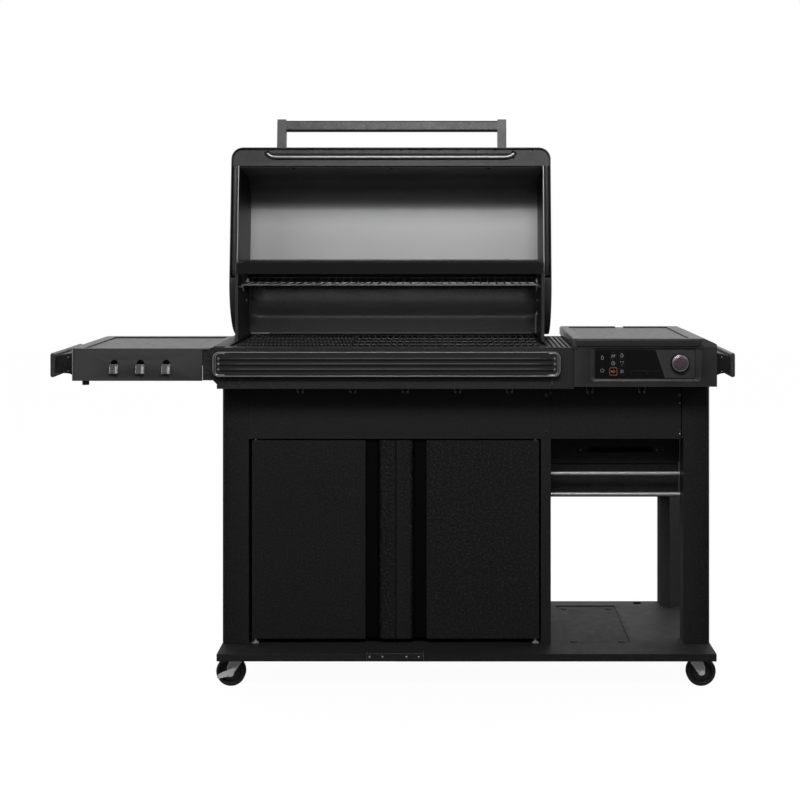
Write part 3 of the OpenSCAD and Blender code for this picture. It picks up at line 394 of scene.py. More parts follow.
def softbox(name, at, to, size, power):
    """A white panel of light: place, aim and size in metres, power in watts."""
    data = bpy.data.lights.new(name, "AREA")
    data.shape = "RECTANGLE"
    data.size, data.size_y = size
    data.energy = power
    o = bpy.data.objects.new(name, data)
    o.location = at
    o.rotation_euler = (Vector(to) - Vector(at)).to_track_quat("-Z", "Y").to_euler()
    scene.collection.objects.link(o)


softbox("key", (-2.2, -3.0, 2.5), (0, 0, 0.9), (1.4, 0.9), 7)
softbox("fill", (2.4, -3.0, 2.3), (0, 0, 0.9), (1.4, 0.9), 4)
softbox("canopy", (0.1, -2.8, 2.75), (0, 0.25, 1.15), (1.5, 0.8), 34)
softbox("top", (0, 1.2, 3.4), (0, 0.2, 0.8), (3.0, 1.2), 14)
softbox("side_left", (-3.0, 0.9, 1.4), (0, 0, 0.8), (1.0, 2.4), 14)
softbox("side_right", (3.0, 0.9, 1.4), (0, 0, 0.8), (1.0, 2.4), 14)

# The world is white where it is seen. What it lights is bright behind the grill and dim in front of it.
DIM_FRONT, BRIGHT_BACK = 0.1, 0.8
world = bpy.data.worlds.new("world")
scene.world = world
world.use_nodes = True
wt = world.node_tree
wt.nodes.clear()
world_out = wt.nodes.new("ShaderNodeOutputWorld")
seen = wt.nodes.new("ShaderNodeBackground")
lit = wt.nodes.new("ShaderNodeBackground")
pick = wt.nodes.new("ShaderNodeMixShader")
for sky in (seen, lit):
    sky.inputs["Color"].default_value = (1, 1, 1, 1)
around = wt.nodes.new("ShaderNodeTexCoord")
direction = wt.nodes.new("ShaderNodeSeparateXYZ")
wt.links.new(around.outputs["Generated"], direction.inputs[0])
ramp = wt.nodes.new("ShaderNodeMapRange")
ramp.interpolation_type = "SMOOTHSTEP"
for key, value in (("From Min", 0.0), ("From Max", 0.8), ("To Min", DIM_FRONT), ("To Max", BRIGHT_BACK)):
    ramp.inputs[key].default_value = value
wt.links.new(direction.outputs["Y"], ramp.inputs["Value"])
wt.links.new(ramp.outputs[0], lit.inputs["Strength"])
path = wt.nodes.new("ShaderNodeLightPath")
wt.links.new(path.outputs["Is Camera Ray"], pick.inputs[0])
wt.links.new(lit.outputs[0], pick.inputs[1])
wt.links.new(seen.outputs[0], pick.inputs[2])
wt.links.new(pick.outputs[0], world_out.inputs[0])

# ---- Mesh helpers ----


def make(name, verts, faces, material, body, slot=None, bevel=None):
    """A piece from a mesh in metres, with its bevel in mm, that rides on a body; its slot argument is not used."""
    mesh = bpy.data.meshes.new(name)
    mesh.from_pydata([tuple(v) for v in verts], [], faces)
    bm = bmesh.new()
    bm.from_mesh(mesh)
    bmesh.ops.recalc_face_normals(bm, faces=bm.faces)
    bm.to_mesh(mesh)
    bm.free()
    for p in mesh.polygons:
        p.use_smooth = True
    mesh.materials.append(material)
    o = bpy.data.objects.new(name, mesh)
    scene.collection.objects.link(o)
    if bevel:
        b = o.modifiers.new("bevel", "BEVEL")
        b.width = bevel / 1000
        b.segments = 2
        b.limit_method = "ANGLE"
        b.angle_limit = math.radians(40)
    o.modifiers.new("normal", "WEIGHTED_NORMAL").weight = 60
    if body:
        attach(o, body)
    return o


class Shape:
    """Collects the solids of one piece. Points are in metres, radii and widths in mm."""

    def __init__(self):
        self.v, self.f = [], []

    def add(self, verts, faces):
        base = len(self.v)
        self.v += [Vector(p) for p in verts]
        self.f += [tuple(base + i for i in face) for face in faces]

    def tube(self, points, r, n=8, closed=False):
        """A round bar of n sides along a line of points."""
        pts = [Vector(p) for p in points]
        m = len(pts)
        ring = []
        up = None
        for i, p in enumerate(pts):
            a = pts[i - 1] if i > 0 or closed else p
            b = pts[(i + 1) % m] if i < m - 1 or closed else p
            d1 = (p - a).normalized() if (p - a).length > 1e-9 else (b - p).normalized()
            d2 = (b - p).normalized() if (b - p).length > 1e-9 else d1
            d = (d1 + d2).normalized()
            if up is None:
                up = Vector((0, 0, 1)) if abs(d.z) < 0.9 else Vector((0, 1, 0))
            side = d.cross(up).normalized()
            up = side.cross(d).normalized()
            # A mitre is wider than the bar along the bend
            widen = 1 / max(0.5, math.sqrt((1 + max(-0.5, d1.dot(d2))) / 2))
            bend = (d2 - d1)
            bend = bend.normalized() if bend.length > 1e-6 else None
            loop = []
            for k in range(n):
                t = 2 * math.pi * (k + 0.5) / n
                q = (side * math.cos(t) + up * math.sin(t)) * (r / 1000)
                if bend is not None:
                    q += bend * q.dot(bend) * (widen - 1)
                loop.append(p + q)
            ring.append(loop)
        verts = [q for loop in ring for q in loop]
        faces = []
        for i in range(m if closed else m - 1):
            for k in range(n):
                a, b = i * n + k, i * n + (k + 1) % n
                c, d = ((i + 1) % m) * n + (k + 1) % n, ((i + 1) % m) * n + k
                faces.append((a, b, c, d))
        if not closed:
            faces += [tuple(reversed(range(n))), tuple((m - 1) * n + k for k in range(n))]
        self.add(verts, faces)

    def prism(self, loop_a, loop_b):
        """A solid between two outlines with the same number of points."""
        n = len(loop_a)
        self.add(list(loop_a) + list(loop_b),
                 [tuple(range(n)), tuple(range(2 * n - 1, n - 1, -1))]
                 + [(i, (i + 1) % n, n + (i + 1) % n, n + i) for i in range(n)])

    def along_x(self, section, x0, x1, at=P):
        """A bar with a section of (y, z) pairs in mm."""
        self.prism([at(x0, y, z) for y, z in section], [at(x1, y, z) for y, z in section])

    def along_y(self, outline, y0, y1):
        """A plate with an outline of (x, z) pairs in mm."""
        self.prism([P(x, y0, z) for x, z in outline], [P(x, y1, z) for x, z in outline])

    def block(self, x, y, z, at=P):
        """A box between pairs of limits in mm."""
        xs, ys = (x[0], x[1], x[1], x[0]), (y[0], y[0], y[1], y[1])
        self.prism([at(a, b, z[0]) for a, b in zip(xs, ys)], [at(a, b, z[1]) for a, b in zip(xs, ys)])

    def frame_loop(self, outer, inner, depth):
        """A flat ring between two outlines, given depth along a vector in metres."""
        n = len(outer)
        o2, i2 = [p + depth for p in outer], [p + depth for p in inner]
        verts = list(outer) + list(inner) + o2 + i2
        faces = []
        for i in range(n):
            j = (i + 1) % n
            faces += [(i, j, n + j, n + i), (2 * n + i, 3 * n + i, 3 * n + j, 2 * n + j),
                      (i, 2 * n + i, 2 * n + j, j), (n + i, n + j, 3 * n + j, 3 * n + i)]
        self.add(verts, faces)

    def lathe(self, centre, axis, profile, n=24):
        """A turned solid: profile is (radius, distance along the axis) in mm, closed by a flat face at each end."""
        axis = Vector(axis).normalized()
        side = axis.orthogonal().normalized()
        other = axis.cross(side)
        verts, faces = [], []
        for r, h in profile:
            for k in range(n):
                t = 2 * math.pi * k / n
                verts.append(centre + axis * (h / 1000) + (side * math.cos(t) + other * math.sin(t)) * (r / 1000))
        for i in range(len(profile) - 1):
            for k in range(n):
                j = (k + 1) % n
                faces.append((i * n + k, i * n + j, (i + 1) * n + j, (i + 1) * n + k))
        faces += [tuple(range(n)), tuple((len(profile) - 1) * n + k for k in reversed(range(n)))]
        self.add(verts, faces)

    def dome(self, at, axis, r, h, n=16):
        """A small rivet or screw head of radius r and height h."""
        profile = [(r, -0.4), (r, 0.15 * h), (r * 0.93, 0.5 * h), (r * 0.7, 0.82 * h), (r * 0.35, h * 0.97),
                   (0.02, h)]
        self.lathe(at, axis, profile, n)

    def made(self, name, *args, **kw):
        return make(name, self.v, self.f, *args, **kw)


def arc_point(x, z, r, degrees):
    t = math.radians(degrees)
    return x + r * math.cos(t), z + r * math.sin(t)


def rounded_loop(x, z, r, n=6):
    """Points of a rounded rectangle as (x, z) pairs."""
    corners = ((x[1] - r, z[1] - r, 0), (x[0] + r, z[1] - r, 90), (x[0] + r, z[0] + r, 180), (x[1] - r, z[0] + r, 270))
    return [arc_point(cx, cz, r, start + 90 * k / n) for cx, cz, start in corners for k in range(n + 1)]


def front_loop(x, z, r, y, n=8):
    """A rounded rectangle in a plane of the front, in metres."""
    return [P(a, y, b) for a, b in rounded_loop(x, z, r, n)]


def inset(limits, by):
    return limits[0] + by, limits[1] - by


# ---- Food racks ----

GRATE_SEAM = -113.0  # x where the two grates meet
GRATE_HALF = 400  # half width of the pair
GRATE_Y = (56, 452)
FRAME_Z, BAR_Z, CROSS_Z = 873.2, 873.9, 872.6  # heights of the outer frame, the long bars and the cross bars
FRAME_R, CROSS_R = 2.6, 2.7
for x0, x1, pitch, r, name in ((BARREL_X - GRATE_HALF, GRATE_SEAM - 0.8, 10.4, 1.9, "left"),
                               (GRATE_SEAM + 0.8, BARREL_X + GRATE_HALF, 17.2, 2.1, "right")):
    wire = Shape()
    y0, y1 = GRATE_Y
    wire.tube([P(x0 + FRAME_R, y0 + FRAME_R, FRAME_Z), P(x1 - FRAME_R, y0 + FRAME_R, FRAME_Z),
               P(x1 - FRAME_R, y1 - FRAME_R, FRAME_Z), P(x0 + FRAME_R, y1 - FRAME_R, FRAME_Z)], FRAME_R, 8, True)
    n = round((x1 - x0) / pitch)
    for i in range(1, n):
        x = x0 + (x1 - x0) * i / n
        wire.tube([P(x, y0 + 3, BAR_Z), P(x, y1 - 3, BAR_Z)], r, 8)
    for i in range(1, 4):
        y = y0 + (y1 - y0) * i / 4
        wire.tube([P(x0 + 3, y, CROSS_Z), P(x1 - 3, y, CROSS_Z)], CROSS_R, 8)
    grate = wire.made("grate_wires_" + name, grate_mat, "grate_" + name, slot="grate_enamel")
    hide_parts("cooking_grate_" + name)

# Warming rack: each long wire is turned down at the front and up at the back, on cross wires and two feet
RACK_PITCH, RACK_Z, RACK_R = 21.5, 1030.0, 1.5
wire = Shape()
x0, x1, y0, y1 = BARREL_X - 399, BARREL_X + 399, 217, 448
n = round((x1 - x0) / RACK_PITCH)
for i in range(n + 1):
    x = x0 + (x1 - x0) * i / n
    wire.tube([P(x, y0 - 1.4, 1026.4), P(x, y0 + 1, 1029.4), P(x, y0 + 6, RACK_Z), P(x, y1 - 14, RACK_Z),
               P(x, y1 - 5, 1031.4), P(x, y1 - 2, 1035.5), P(x, y1 - 1, 1041.5)], RACK_R, 6)
for y, z, r in ((217.6, 1028.0, 1.9), (275, 1027.6, 1.5), (333, 1027.6, 1.5), (391, 1027.6, 1.5), (445.4, 1039.6, 1.8)):
    wire.tube([P(x0 - 1, y, z), P(x1 + 1, y, z)], r, 8)
for x, d in ((x0 + 3, 1), (x1 - 3, -1)):
    wire.tube([P(x, 218, 1028), P(x, 216.6, 1024), P(x, 216.4, 1014), P(x + 4 * d, 216.4, 1010.5)], 1.4, 6)
rack = wire.made("warming_rack_wires", rack_mat, "warming_rack", slot="rack_wire")
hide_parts("warming_rack")

# ---- Chamber lining ----

# Inner back sheet: it follows the barrel just inside the CAD wall, then runs down to the grates
SHEET_R = 112
ARC_FROM, ARC_SWEEP, ARC_STEPS = 28, 64, 17
profile = [arc_point(HINGE[0], HINGE[1], SHEET_R, ARC_FROM - ARC_SWEEP * k / ARC_STEPS) for k in range(ARC_STEPS + 1)]
knots = profile[-2:] + [(482.5, 952), (470.5, 943.5), (457.0, 930), (454.9, 912), (454.4, 893), (454.4, 880.5),
                        (454.3, 872)]


def smooth_step(a, b, c, d, t):
    """A point between b and c of a smooth curve through a, b, c and d."""
    return tuple(0.5 * (2 * b[m] + (c[m] - a[m]) * t + (2 * a[m] - 5 * b[m] + 4 * c[m] - d[m]) * t * t
                        + (3 * b[m] - a[m] - 3 * c[m] + d[m]) * t ** 3) for m in (0, 1))


for a, b, c, d in zip(knots, knots[1:], knots[2:], knots[3:]):
    profile += [smooth_step(a, b, c, d, k / 5) for k in range(1, 6)]

# Its ends turn forward in a fillet to meet the side walls. The fillet fades out above the grates.
SHEET_WIDTH, FILLET, FADE_Z, FADE_HEIGHT = 816, 44.0, 904, 60
SHEET_GAP = 0.6
end = [0, 1.2, 3, 5.5, 9, 13, 18, 24, 31, 38, 45]
middle = SHEET_WIDTH - 2 * end[-1]
across = end + [end[-1] + middle * i / 16 for i in range(1, 16)] + [SHEET_WIDTH - c for c in reversed(end)]
verts, faces = [], []
for i, (y, z) in enumerate(profile):
    a, b = profile[max(0, i - 1)], profile[min(len(profile) - 1, i + 1)]
    d = Vector((b[0] - a[0], b[1] - a[1])).normalized()
    inward = Vector((d.y, -d.x)) if d.y * (HINGE[0] - y) + -d.x * (1000 - z) > 0 else Vector((-d.y, d.x))
    for c in across:
        near = min(c, SHEET_WIDTH - c)
        lift = FILLET - math.sqrt(max(0.0, FILLET ** 2 - (FILLET - near) ** 2)) if near < FILLET else 0.0
        lift *= min(1.0, max(0.0, (z - FADE_Z) / FADE_HEIGHT))
        off = lift + SHEET_GAP
        verts.append(P(BARREL_X - SHEET_WIDTH / 2 + c, y + inward.x * off, z + inward.y * off))
w = len(across)
for i in range(len(profile) - 1):
    for k in range(w - 1):
        faces.append((i * w + k, i * w + k + 1, (i + 1) * w + k + 1, (i + 1) * w + k))
lining = make("chamber_back_sheet", verts, faces, lining_mat, "frame", "chamber_enamel")
thick = lining.modifiers.new("thick", "SOLIDIFY")
thick.thickness = 0.0008
thick.offset = 0

strip = Shape()
strip.along_x([(452.9, 878.5), (452.9, 882), (454.9, 891), (457.5, 891), (455.9, 878.5)],
              BARREL_X - 396, BARREL_X + 396)
for i in range(10):
    strip.dome(P(-400 + 86 * i, 454.4, 886.5), (0, -1, 0.3), 2.6, 1.4, 12)
strip.made("chamber_bottom_strip", lining_mat, "frame", slot="chamber_enamel", bevel=0.5)

flange = Shape()
flange.along_y(rounded_loop((BARREL_X - 412, BARREL_X + 412), (1058, 1088.6), 7, 6), 203.8, 205.4)
flange.made("hood_flange_face", flange_black, "frame", slot="chamber_enamel", bevel=0.7)

WALL_HALF = 408  # from the middle of the chamber to a side wall
rivets = Shape()
for side in (-1, 1):
    rivets.dome(P(BARREL_X + side * WALL_HALF, 373, 979), (-side, 0, 0), 3.4, 3.2, 16)
    rivets.dome(P(BARREL_X + side * WALL_HALF, 300, 1066), (-side, 0, 0), 3.0, 2.4, 16)
rivets.block((BARREL_X - 404, BARREL_X - 352), (452.8, 456), (879.5, 882.5))
rivets.made("chamber_rivets", zinc_mat, "frame", slot="zinc_steel", bevel=0.3)

# ---- Lid rim ----

# Pressed rib of the front panel, drawn in pale satin metal as a painted highlight: straight, with both ends turned up
RIB_Z, RIB_R, RIB_TOP = 893.2, 7.8, 893.4
rim = Shape()
line = [(-357, 56), (-353, 62), (-346, 67.5), (-336, 70.4)]
line += [(-323 + 617 * i / 20, 71) for i in range(21)]
line += [(307, 70.4), (317, 67.5), (324, 62), (328, 56)]
rim.tube([P(x, y, RIB_Z) for x, y in line], RIB_R, 16)
rim.v = [L(v.x * 1000, v.y * 1000 + DEPTH_SHIFT, min(v.z * 1000, RIB_TOP)) for v in rim.v]
rim.made("lid_rim_rib_highlight", rib_highlight_mat, "lid", slot="lid_enamel")

# Inner folds of the lid's ends: section is (distance inwards, height)
sides = Shape()
section = [(0, 885), (0.3, 888), (1.4, 890.8), (4, 892.6), (8, 893.2), (12, 893.8), (15.8, 896)]
section += [(t, z + 1.4) for t, z in reversed(section)]
for side in (-1, 1):
    sides.prism(*[[L(BARREL_X + side * (436.3 - t), y, z) for t, z in section] for y in (95.2, 398)])
sides.made("lid_side_flanges", lid_black, "lid", slot="lid_enamel")

# Folded front edge of the liner with two tabs
lip = Shape()
lip.tube([L(BARREL_X - 417 + 834 * i / 12, 96.2, 904.4) for i in range(13)], 1.3, 8)
for x in (-296, -206):
    lip.block((x - 9, x + 9), (91, 95), (893.5, 896), at=L)
lip.made("liner_lip", bar_mat, "lid", slot="bright_steel", bevel=0.3)

heads = Shape()
below, behind = L(0, 0, 0) - L(0, 0, 1), L(0, 1, 0) - L(0, 0, 0)  # directions on the shut lid
for i in range(16):
    heads.dome(L(BARREL_X - 390 + 52 * i, 51.5, 892.2), below, 2.2, 1.6, 12)
for x in (BARREL_X - 307, BARREL_X + 307):
    heads.dome(L(x, 72, 892.2), below, 5.0, 3.0, 16)
for x in (-283, -13, 257):
    heads.dome(L(x, 97.4, 917), behind, 4.2, 2.4, 16)
heads.made("lid_rim_screws", dark_steel, "lid", slot="zinc_steel")

# ---- Front rail ----

RAIL_X, RAIL_Z, RAIL_CORNER = (-456, 430), (804, 867), 16
RAIL_MID = (RAIL_Z[0] + RAIL_Z[1]) / 2
EDGE_Y, EDGE_WIDTH, EDGE_DEPTH = -14.9, 2.6, 0.0036

rail = Shape()
rail.prism(front_loop(RAIL_X, RAIL_Z, RAIL_CORNER, -11.5), front_loop(RAIL_X, RAIL_Z, RAIL_CORNER, 4.8))
for x in (-360, -30, 320):
    rail.block((x - 12, x + 12), (-10, 3), (866.5, 869.4))
rail_body = rail.made("rail_body", rail_mat, "frame", slot="rail_dark", bevel=1.2)
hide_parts("front_rail")

edge = Shape()
edge.frame_loop(front_loop(RAIL_X, RAIL_Z, RAIL_CORNER, EDGE_Y),
                front_loop(inset(RAIL_X, EDGE_WIDTH), inset(RAIL_Z, EDGE_WIDTH), RAIL_CORNER - EDGE_WIDTH, EDGE_Y),
                Vector((0, EDGE_DEPTH, 0)))
for x, d in ((RAIL_X[0] + 6.4, 1), (RAIL_X[1] - 6.4, -1)):
    turns = [math.radians(t) for t in range(0, 91, 15)]
    bend = [(x + d * (10 - 10 * math.sin(t)), 17.4 + 10 * math.cos(t)) for t in turns]
    edge.tube([P(x + 24 * d, -12.4, RAIL_MID + 27.4)] + [P(a, -12.4, RAIL_MID + b) for a, b in bend]
              + [P(a, -12.4, RAIL_MID - b) for a, b in reversed(bend)] + [P(x + 24 * d, -12.4, RAIL_MID - 27.4)],
              1.0, 8)
edge.made("rail_edges", trim_and_highlight_mat, "frame", slot="rail_dark", bevel=0.7)

RIB_Y, RIB_PITCH, RIB_RADIUS = -9.9, 13.7, 5.0
# The rounded ends of the rail's ribs are drawn in pale metal as a painted highlight
ribs, rib_end_highlights = Shape(), Shape()
for i in (-1, 0, 1):
    z = RAIL_MID + RIB_PITCH * i
    a, b = inset(RAIL_X, 16)
    ribs.tube([P(a + (b - a) * k / 16, RIB_Y, z) for k in range(17)], RIB_RADIUS, 20)
    for x, d in ((a, -1), (b, 1)):
        rib_end_highlights.lathe(P(x, RIB_Y, z), (d, 0, 0),
                   [(RIB_RADIUS, -3), (RIB_RADIUS, 0), (4.6, 2.0), (3.6, 3.5), (2.0, 4.6), (0.05, 5.0)], 16)
ribs.made("rail_ribs", rail_mat, "frame", slot="rail_dark")
rib_end_highlights.made("rail_rib_end_highlights", trim_and_highlight_mat, "frame", slot="rail_dark")

# ---- Console ----

# Sloping frame around the panel
bezel = Shape()
outer = front_loop((507, 792), (791, 875.8), 9, 0.3)
inner = front_loop((517, 777), (796.5, 873.5), 5, 2.9)
n = len(outer)
rings = outer + inner + [p + Vector((0, 0.001, 0)) for p in inner] + [p + Vector((0, 0.003, 0)) for p in outer]
bezel.add(rings, [(r * n + i, r * n + (i + 1) % n, (r + 1) % 4 * n + (i + 1) % n, (r + 1) % 4 * n + i)
                  for r in range(4) for i in range(n)])
bezel.made("console_bezel", bezel_mat, "frame", slot="hopper_charcoal", bevel=0.5)

PANEL_Y = (1.7, 3.0)
plate = Shape()
plate.along_y([(674, 871), (771, 871), (773.2, 870.1), (774, 868), (774, 802), (773.2, 799.9), (771, 799), (698, 799)],
              *PANEL_Y)
plate.made("console_plate", plate_mat, "frame", slot="hopper_charcoal", bevel=0.35)
glass = Shape()
glass.along_y([(523, 871), (673.2, 871), (697.2, 799), (523, 799), (520.8, 799.9), (520, 802), (520, 868),
               (520.8, 870.1)], *PANEL_Y)
glass.made("console_glass", glass_mat, "frame", slot="display_black", bevel=0.3)


def stroke(shape, pts, r=0.55, closed=False):
    """A line of a symbol, just in front of the glass."""
    shape.tube([P(x, 1.5, z) for x, z in pts], r, 6, closed)


def circle_points(x, z, r, n=16, a0=0, a1=360):
    """Points of a circle, or of a part of one with both its ends."""
    count = n if a1 - a0 == 360 else n + 1
    return [arc_point(x, z, r, a0 + (a1 - a0) * k / n) for k in range(count)]


TILE_X, TILE_Z, TILE_Y = (566, 588), (857, 837, 816), 1.45
icons, amber, tiles = Shape(), Shape(), Shape()
for z in TILE_Z:
    for x in TILE_X:
        loops = [front_loop((x - h, x + h), (z - h, z + h), r, TILE_Y, 3) for h, r in ((8.6, 1.5), (8.1, 1.2))]
        tiles.frame_loop(*loops, Vector((0, 0.0003, 0)))
stroke(amber, rounded_loop((556.6, 575.4), (806.6, 825.4), 2.0, 3), 0.45, closed=True)
stroke(amber, circle_points(562.5, 816, 1.8), 0.8, closed=True)
# Left column: a flame and a power ring
stroke(icons, [(538, 856.5), (541, 851.5), (540.6, 847.6), (538, 846), (535.4, 847.6), (535, 851.5)], closed=True)
stroke(icons, circle_points(538, 818.6, 4.2, 14, -230, 50))
stroke(icons, [(538, 820), (538, 824.6)])
# Tiles: smoke, flame, clock, funnel, arrow and list
stroke(icons, [(561, 855), (564, 859), (567, 856), (571, 860)])
stroke(icons, [(561, 851.5), (564, 855.5), (567, 852.5), (571, 856.5)])
stroke(icons, [(588, 862), (591.5, 856), (590, 852.5), (586, 852.5), (584.5, 856)], closed=True)
stroke(icons, circle_points(566, 837, 4.4), closed=True)
stroke(icons, [(566, 840), (566, 837), (568.4, 835.6)])
stroke(icons, [(584, 841), (592, 841), (590.5, 835), (585.5, 835)], closed=True)
stroke(icons, [(588, 834), (588, 831.5)])
stroke(icons, [(567, 812.5), (567, 819.5), (570.4, 816)], closed=True)
for dz in (-3, 0, 3):
    stroke(icons, [(584, 816 + dz), (592, 816 + dz)])
# Timer line with two marks
stroke(tiles, [(605, 817.5), (690, 817.5)], 0.35)
stroke(tiles, circle_points(611, 811.5, 1.6, 10), 0.35, closed=True)
stroke(tiles, [(654, 813.5), (656.4, 809.5), (651.6, 809.5)], 0.35, closed=True)
tiles.made("screen_tiles", tile_mat, "frame", slot="display_black")
icons.made("screen_icons", icon_mat, "frame", slot="display_black")
amber.made("screen_marker", amber_mat, "frame", slot="display_black")

KNOB_AT, KNOB_SIDES = P(735.5, 0, 838), 64
skirt = Shape()
skirt.lathe(KNOB_AT, FRONT, [(4, -2.2), (21.4, -1.9), (23.4, -1.0), (24, 0.4), (24, 7.6), (23.7, 9.2), (22.9, 10.4),
                             (21.6, 10.8), (19.6, 10.6), (4, 10.6)], KNOB_SIDES)
knob_skirt = skirt.made("knob_skirt", knob_dark, "knob", slot="knob_metal")
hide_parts("control_knob")
ring = Shape()
ring.lathe(KNOB_AT, FRONT, [(18.4, 10.2), (21.2, 10.4), (21.9, 11.2), (21.7, 12.4), (20.6, 13.6), (19.2, 14.0),
                            (18.4, 13.2)], KNOB_SIDES)
ring.made("knob_ring", bright_mat, "knob", slot="knob_metal")
face = Shape()
face.lathe(KNOB_AT, FRONT, [(12, 10.0), (18.3, 10.2), (18.5, 12.2), (18.1, 13.4), (17.2, 14.2), (15.6, 14.6),
                            (8, 14.75), (0.05, 14.8)], KNOB_SIDES)
face.tube([KNOB_AT + Vector((0, -0.0144, 0.0125)), KNOB_AT + Vector((0, -0.0144, 0.0165))], 0.5, 8)
face.made("knob_face", knob_mat, "knob", slot="knob_metal")

# ---- Side handles ----

bars, webs, dots = Shape(), Shape(), Shape()
for side, end in ((-1, 820), (1, 831)):
    section = rounded_loop((876.4, 888.8), (795, 858), 5.5, 5)
    bars.along_y([(side * x, z) for x, z in section], 60, 368)
    section = [(878, 806), (878, 848), (866, 852), (end + 14, 857), (end - 1, 857), (end - 1, 798), (end + 12, 798),
               (end + 24, 803)]
    webs.along_y([(side * x, z) for x, z in section], 78, 352)
    for x, z in ((end + 7, 850), (end + 7, 805), (end + 26, 846), (end + 26, 809)):
        dots.dome(P(side * x, 78, z), FRONT, 1.8, 1.4, 10)
handle_bars = bars.made("handle_bars", handle_mat, "frame", slot="handle_dark", bevel=3.2)
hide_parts("side_handles")
webs.made("handle_webs", black, "frame", slot="handle_dark", bevel=1.2)

# ---- Shelf hooks, clips and joints of the front ----

HOOK_X = (-709, -642, -576)
CLIP_X = (-242, -105, 32, 169, 304, 514, 650)
strips = Shape()
wedge = [(-9.5, 833), (-10.2, 832.5), (-12.2, 824), (-14.6, 813), (-14.8, 811.6), (-9.5, 811)]
for x in HOOK_X:
    for a, b in ((x + 4.2, x + 10.4), (x - 10.4, x - 9.0)):
        strips.along_x(wedge, a, b)
strips.made("hook_edges", bright_mat, "frame", slot="bright_steel", bevel=0.3)

for x in CLIP_X:
    for d in (-5, 5):
        dots.dome(P(x + d, 87.8, 755), FRONT, 1.7, 1.2, 10)
for z in (724, 643):
    dots.dome(P(750.5, 97.4, z), FRONT, 2.4, 1.6, 12)
dots.made("small_screws", zinc_mat, "frame", slot="zinc_steel")

plate_lo, plate_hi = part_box("deck_joint_plate")
plate_front = plate_lo.y * 1000 + DEPTH_SHIFT
joint = Shape()
for x in (-55.7, -23.3, 38, 69.5):
    joint.dome(P(x, plate_front + 0.2, 86.7), FRONT, 3.4, 2.4, 14)
joint.made("joint_plate_screws", zinc_mat, "frame", slot="zinc_steel")
# Lines along the edges of the deck joint plate: rounded rims in a paler coat than the plate, a painted highlight
plate_edge_highlights = Shape()
for x in (plate_lo.x + 0.0008, plate_hi.x - 0.0008):
    plate_edge_highlights.tube([Vector((x, plate_lo.y, plate_lo.z + 0.001)), Vector((x, plate_lo.y, plate_hi.z)),
               Vector((x, plate_lo.y + 0.024, plate_hi.z))], 0.6, 8)
plate_edge_highlights.tube([Vector((x, plate_lo.y, plate_hi.z)) for x in (plate_lo.x + 0.001, plate_hi.x - 0.001)], 0.5, 8)
plate_edge_highlights.made("joint_plate_edge_highlights", handle_mat, "frame", slot="black_textured")

# Pale lines along the edges of the shelf clips: a painted highlight
clip_highlights = Shape()
for x in CLIP_X:
    for d in (-1, 1):
        clip_highlights.tube([P(x + 8 * d, 87.6, 771), P(x + 8 * d, 87.6, 752), P(x + 3 * d, 87.6, 751.4)], 0.7, 6)
clip_highlights.made("clip_edge_highlights", trim_and_highlight_mat, "frame", slot="black_textured")
# A thin strip of painted shadow in the joint of the apron
gap = Shape()
gap.block((753.4, 756.2), (97.2, 98.6), (628, 768))
gap.made("apron_joint", gap_shadow_mat, "frame", slot="black_textured", bevel=0.2)

# Dark plate inside the exhaust cover, behind the slot of the chamber's rear wall: a painted shade
shade = Shape()
lo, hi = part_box("exhaust_cover")
outline = ((lo.x + 0.005, lo.z + 0.004), (hi.x - 0.005, lo.z + 0.004),
           (hi.x - 0.005, hi.z - 0.004), (lo.x + 0.005, hi.z - 0.004))
shade.prism(*[[Vector((x, hi.y - depth, z)) for x, z in outline] for depth in (0.0065, 0.0045)])
shade.made("exhaust_shade", pit_black_and_shade_mat, "frame", slot="black_textured", bevel=0.3)

# Strip under the joint of the two deck halves
seam = Shape()
lo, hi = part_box("base_deck_left")
outline = ((hi.x - 0.008, lo.y + 0.02), (hi.x + 0.008, lo.y + 0.02),
           (hi.x + 0.008, hi.y - 0.02), (hi.x - 0.008, hi.y - 0.02))
seam.prism(*[[Vector((x, y, hi.z - below_top)) for x, y in outline] for below_top in (0.0058, 0.0036)])
seam.made("deck_seam_strip", black, "frame", slot="black_textured", bevel=0.3)

# ---- Bay back plate ----

bay = Shape()
x0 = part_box("bin_rails")[0].x * 1000 + 0.5
bay.along_y([(x0, 553), (765, 553), (766.5, 556), (766.5, 616), (764, 623), (758, 626), (x0, 626)], 205, 207)
bay.block((x0, 764), (212, 214), (458, 551.5))
bay.tube([P(x0, 209, 552.4), P(764, 209, 552.4)], 4.0, 10)
for z in (612, 603, 566):
    bay.tube([P(x0, 205.4, z), P(762, 205.4, z)], 1.1, 8)
bay.made("bay_plate", black, "frame", slot="black_textured", bevel=0.6)

SLOT_X, SLOT_Z, SLOT_R, SLOT_RIM = (516, 696), (576.5, 595.5), 9.4, 3
slot_rim = Shape()
slot_rim.frame_loop(front_loop(SLOT_X, SLOT_Z, SLOT_R, 203.6),
                    front_loop(inset(SLOT_X, SLOT_RIM), inset(SLOT_Z, SLOT_RIM), SLOT_R - SLOT_RIM, 203.6),
                    Vector((0, 0.002, 0)))
slot_rim.made("bay_slot_rim", black, "frame", slot="black_textured", bevel=0.9)
# Painted shadow inside the slot
hole = Shape()
hole.along_y(rounded_loop(inset(SLOT_X, 2.5), inset(SLOT_Z, 2.5), SLOT_R - 2.5, 8), 204.6, 205.2)
hole.made("bay_slot", gap_shadow_mat, "frame", slot="black_textured")

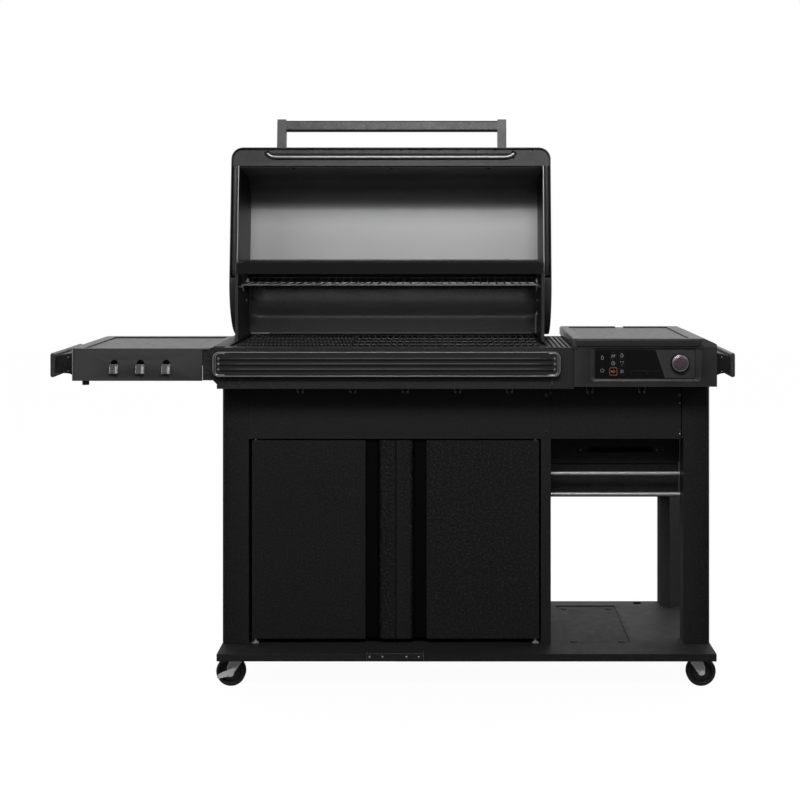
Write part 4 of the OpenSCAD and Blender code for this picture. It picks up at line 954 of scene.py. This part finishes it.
bolts = Shape()
for x, r in ((484, 3.0), (499, 5.0), (706, 5.0), (720, 3.0)):
    bolts.dome(P(x, 205, 586), FRONT, r, 2.6, 14)
bolts.made("bay_bolts", dark_steel, "frame", slot="zinc_steel")

# ---- Hopper lid lip ----

lip_bar = Shape()
lip_bar.along_x([(2.4, 899.0), (0.2, 898.6), (-1.4, 897.2), (-2.0, 895), (-2.0, 882), (-1.3, 880), (0, 879.4),
                 (2.4, 879.4)], 470, 791)
for ear in ((464, 474), (787, 796)):
    lip_bar.block(ear, (-2.6, -0.5), (873, 884))
lip_bar.made("hopper_lid_lip", lid_black, "hopper_lid", slot="hopper_charcoal", bevel=0.8)

# ---- Floor ----

# The floor is white where it is seen. It sends light back only to what stands close to it, so that the black panels
# stay black.
FLOOR_DARK, FLOOR_PALE, FLOOR_THICK = (0.06, 0.06, 0.06), (0.8, 0.8, 0.8), 0.012
floor_shape = Shape()
outline = ((-9, -8), (9, -8), (9, 10), (-9, 10))
floor_shape.prism(*[[Vector((x, y, z)) for x, y in outline] for z in (-FLOOR_THICK, 0.0)])
g = Graph("floor_paint")
ray = g.node("ShaderNodeLightPath")
near = g.mix(g.spread(ray.outputs["Ray Length"], 0.09, 0.16), FLOOR_PALE, FLOOR_DARK)
paint = g.mix(g.noise(3, 3), FLOOR_PALE, (0.84, 0.84, 0.84))
g.into(g.mix(ray.outputs["Is Camera Ray"], near, paint), "Base Color")
g.into(g.spread(g.noise(40, 4), 0.3, 0.7, 0.6, 0.75), "Roughness")
floor = floor_shape.made("studio_floor", g.m, None, bevel=1)
GLOW, GLOW_SHARE = 1.09, 0.88
glow = g.node("ShaderNodeEmission", Color=(1, 1, 1, 1), Strength=GLOW)
share = g.node("ShaderNodeMixShader")
part_lit = g.node("ShaderNodeMath", operation="MULTIPLY")
part_lit.inputs[1].default_value = GLOW_SHARE
g.link(ray.outputs["Is Camera Ray"], part_lit.inputs[0])
g.link(part_lit.outputs[0], share.inputs[0])
g.link(g.b.outputs[0], share.inputs[1])
g.link(glow.outputs[0], share.inputs[2])
g.link(share.outputs[0], g.t.nodes["Material Output"].inputs["Surface"])
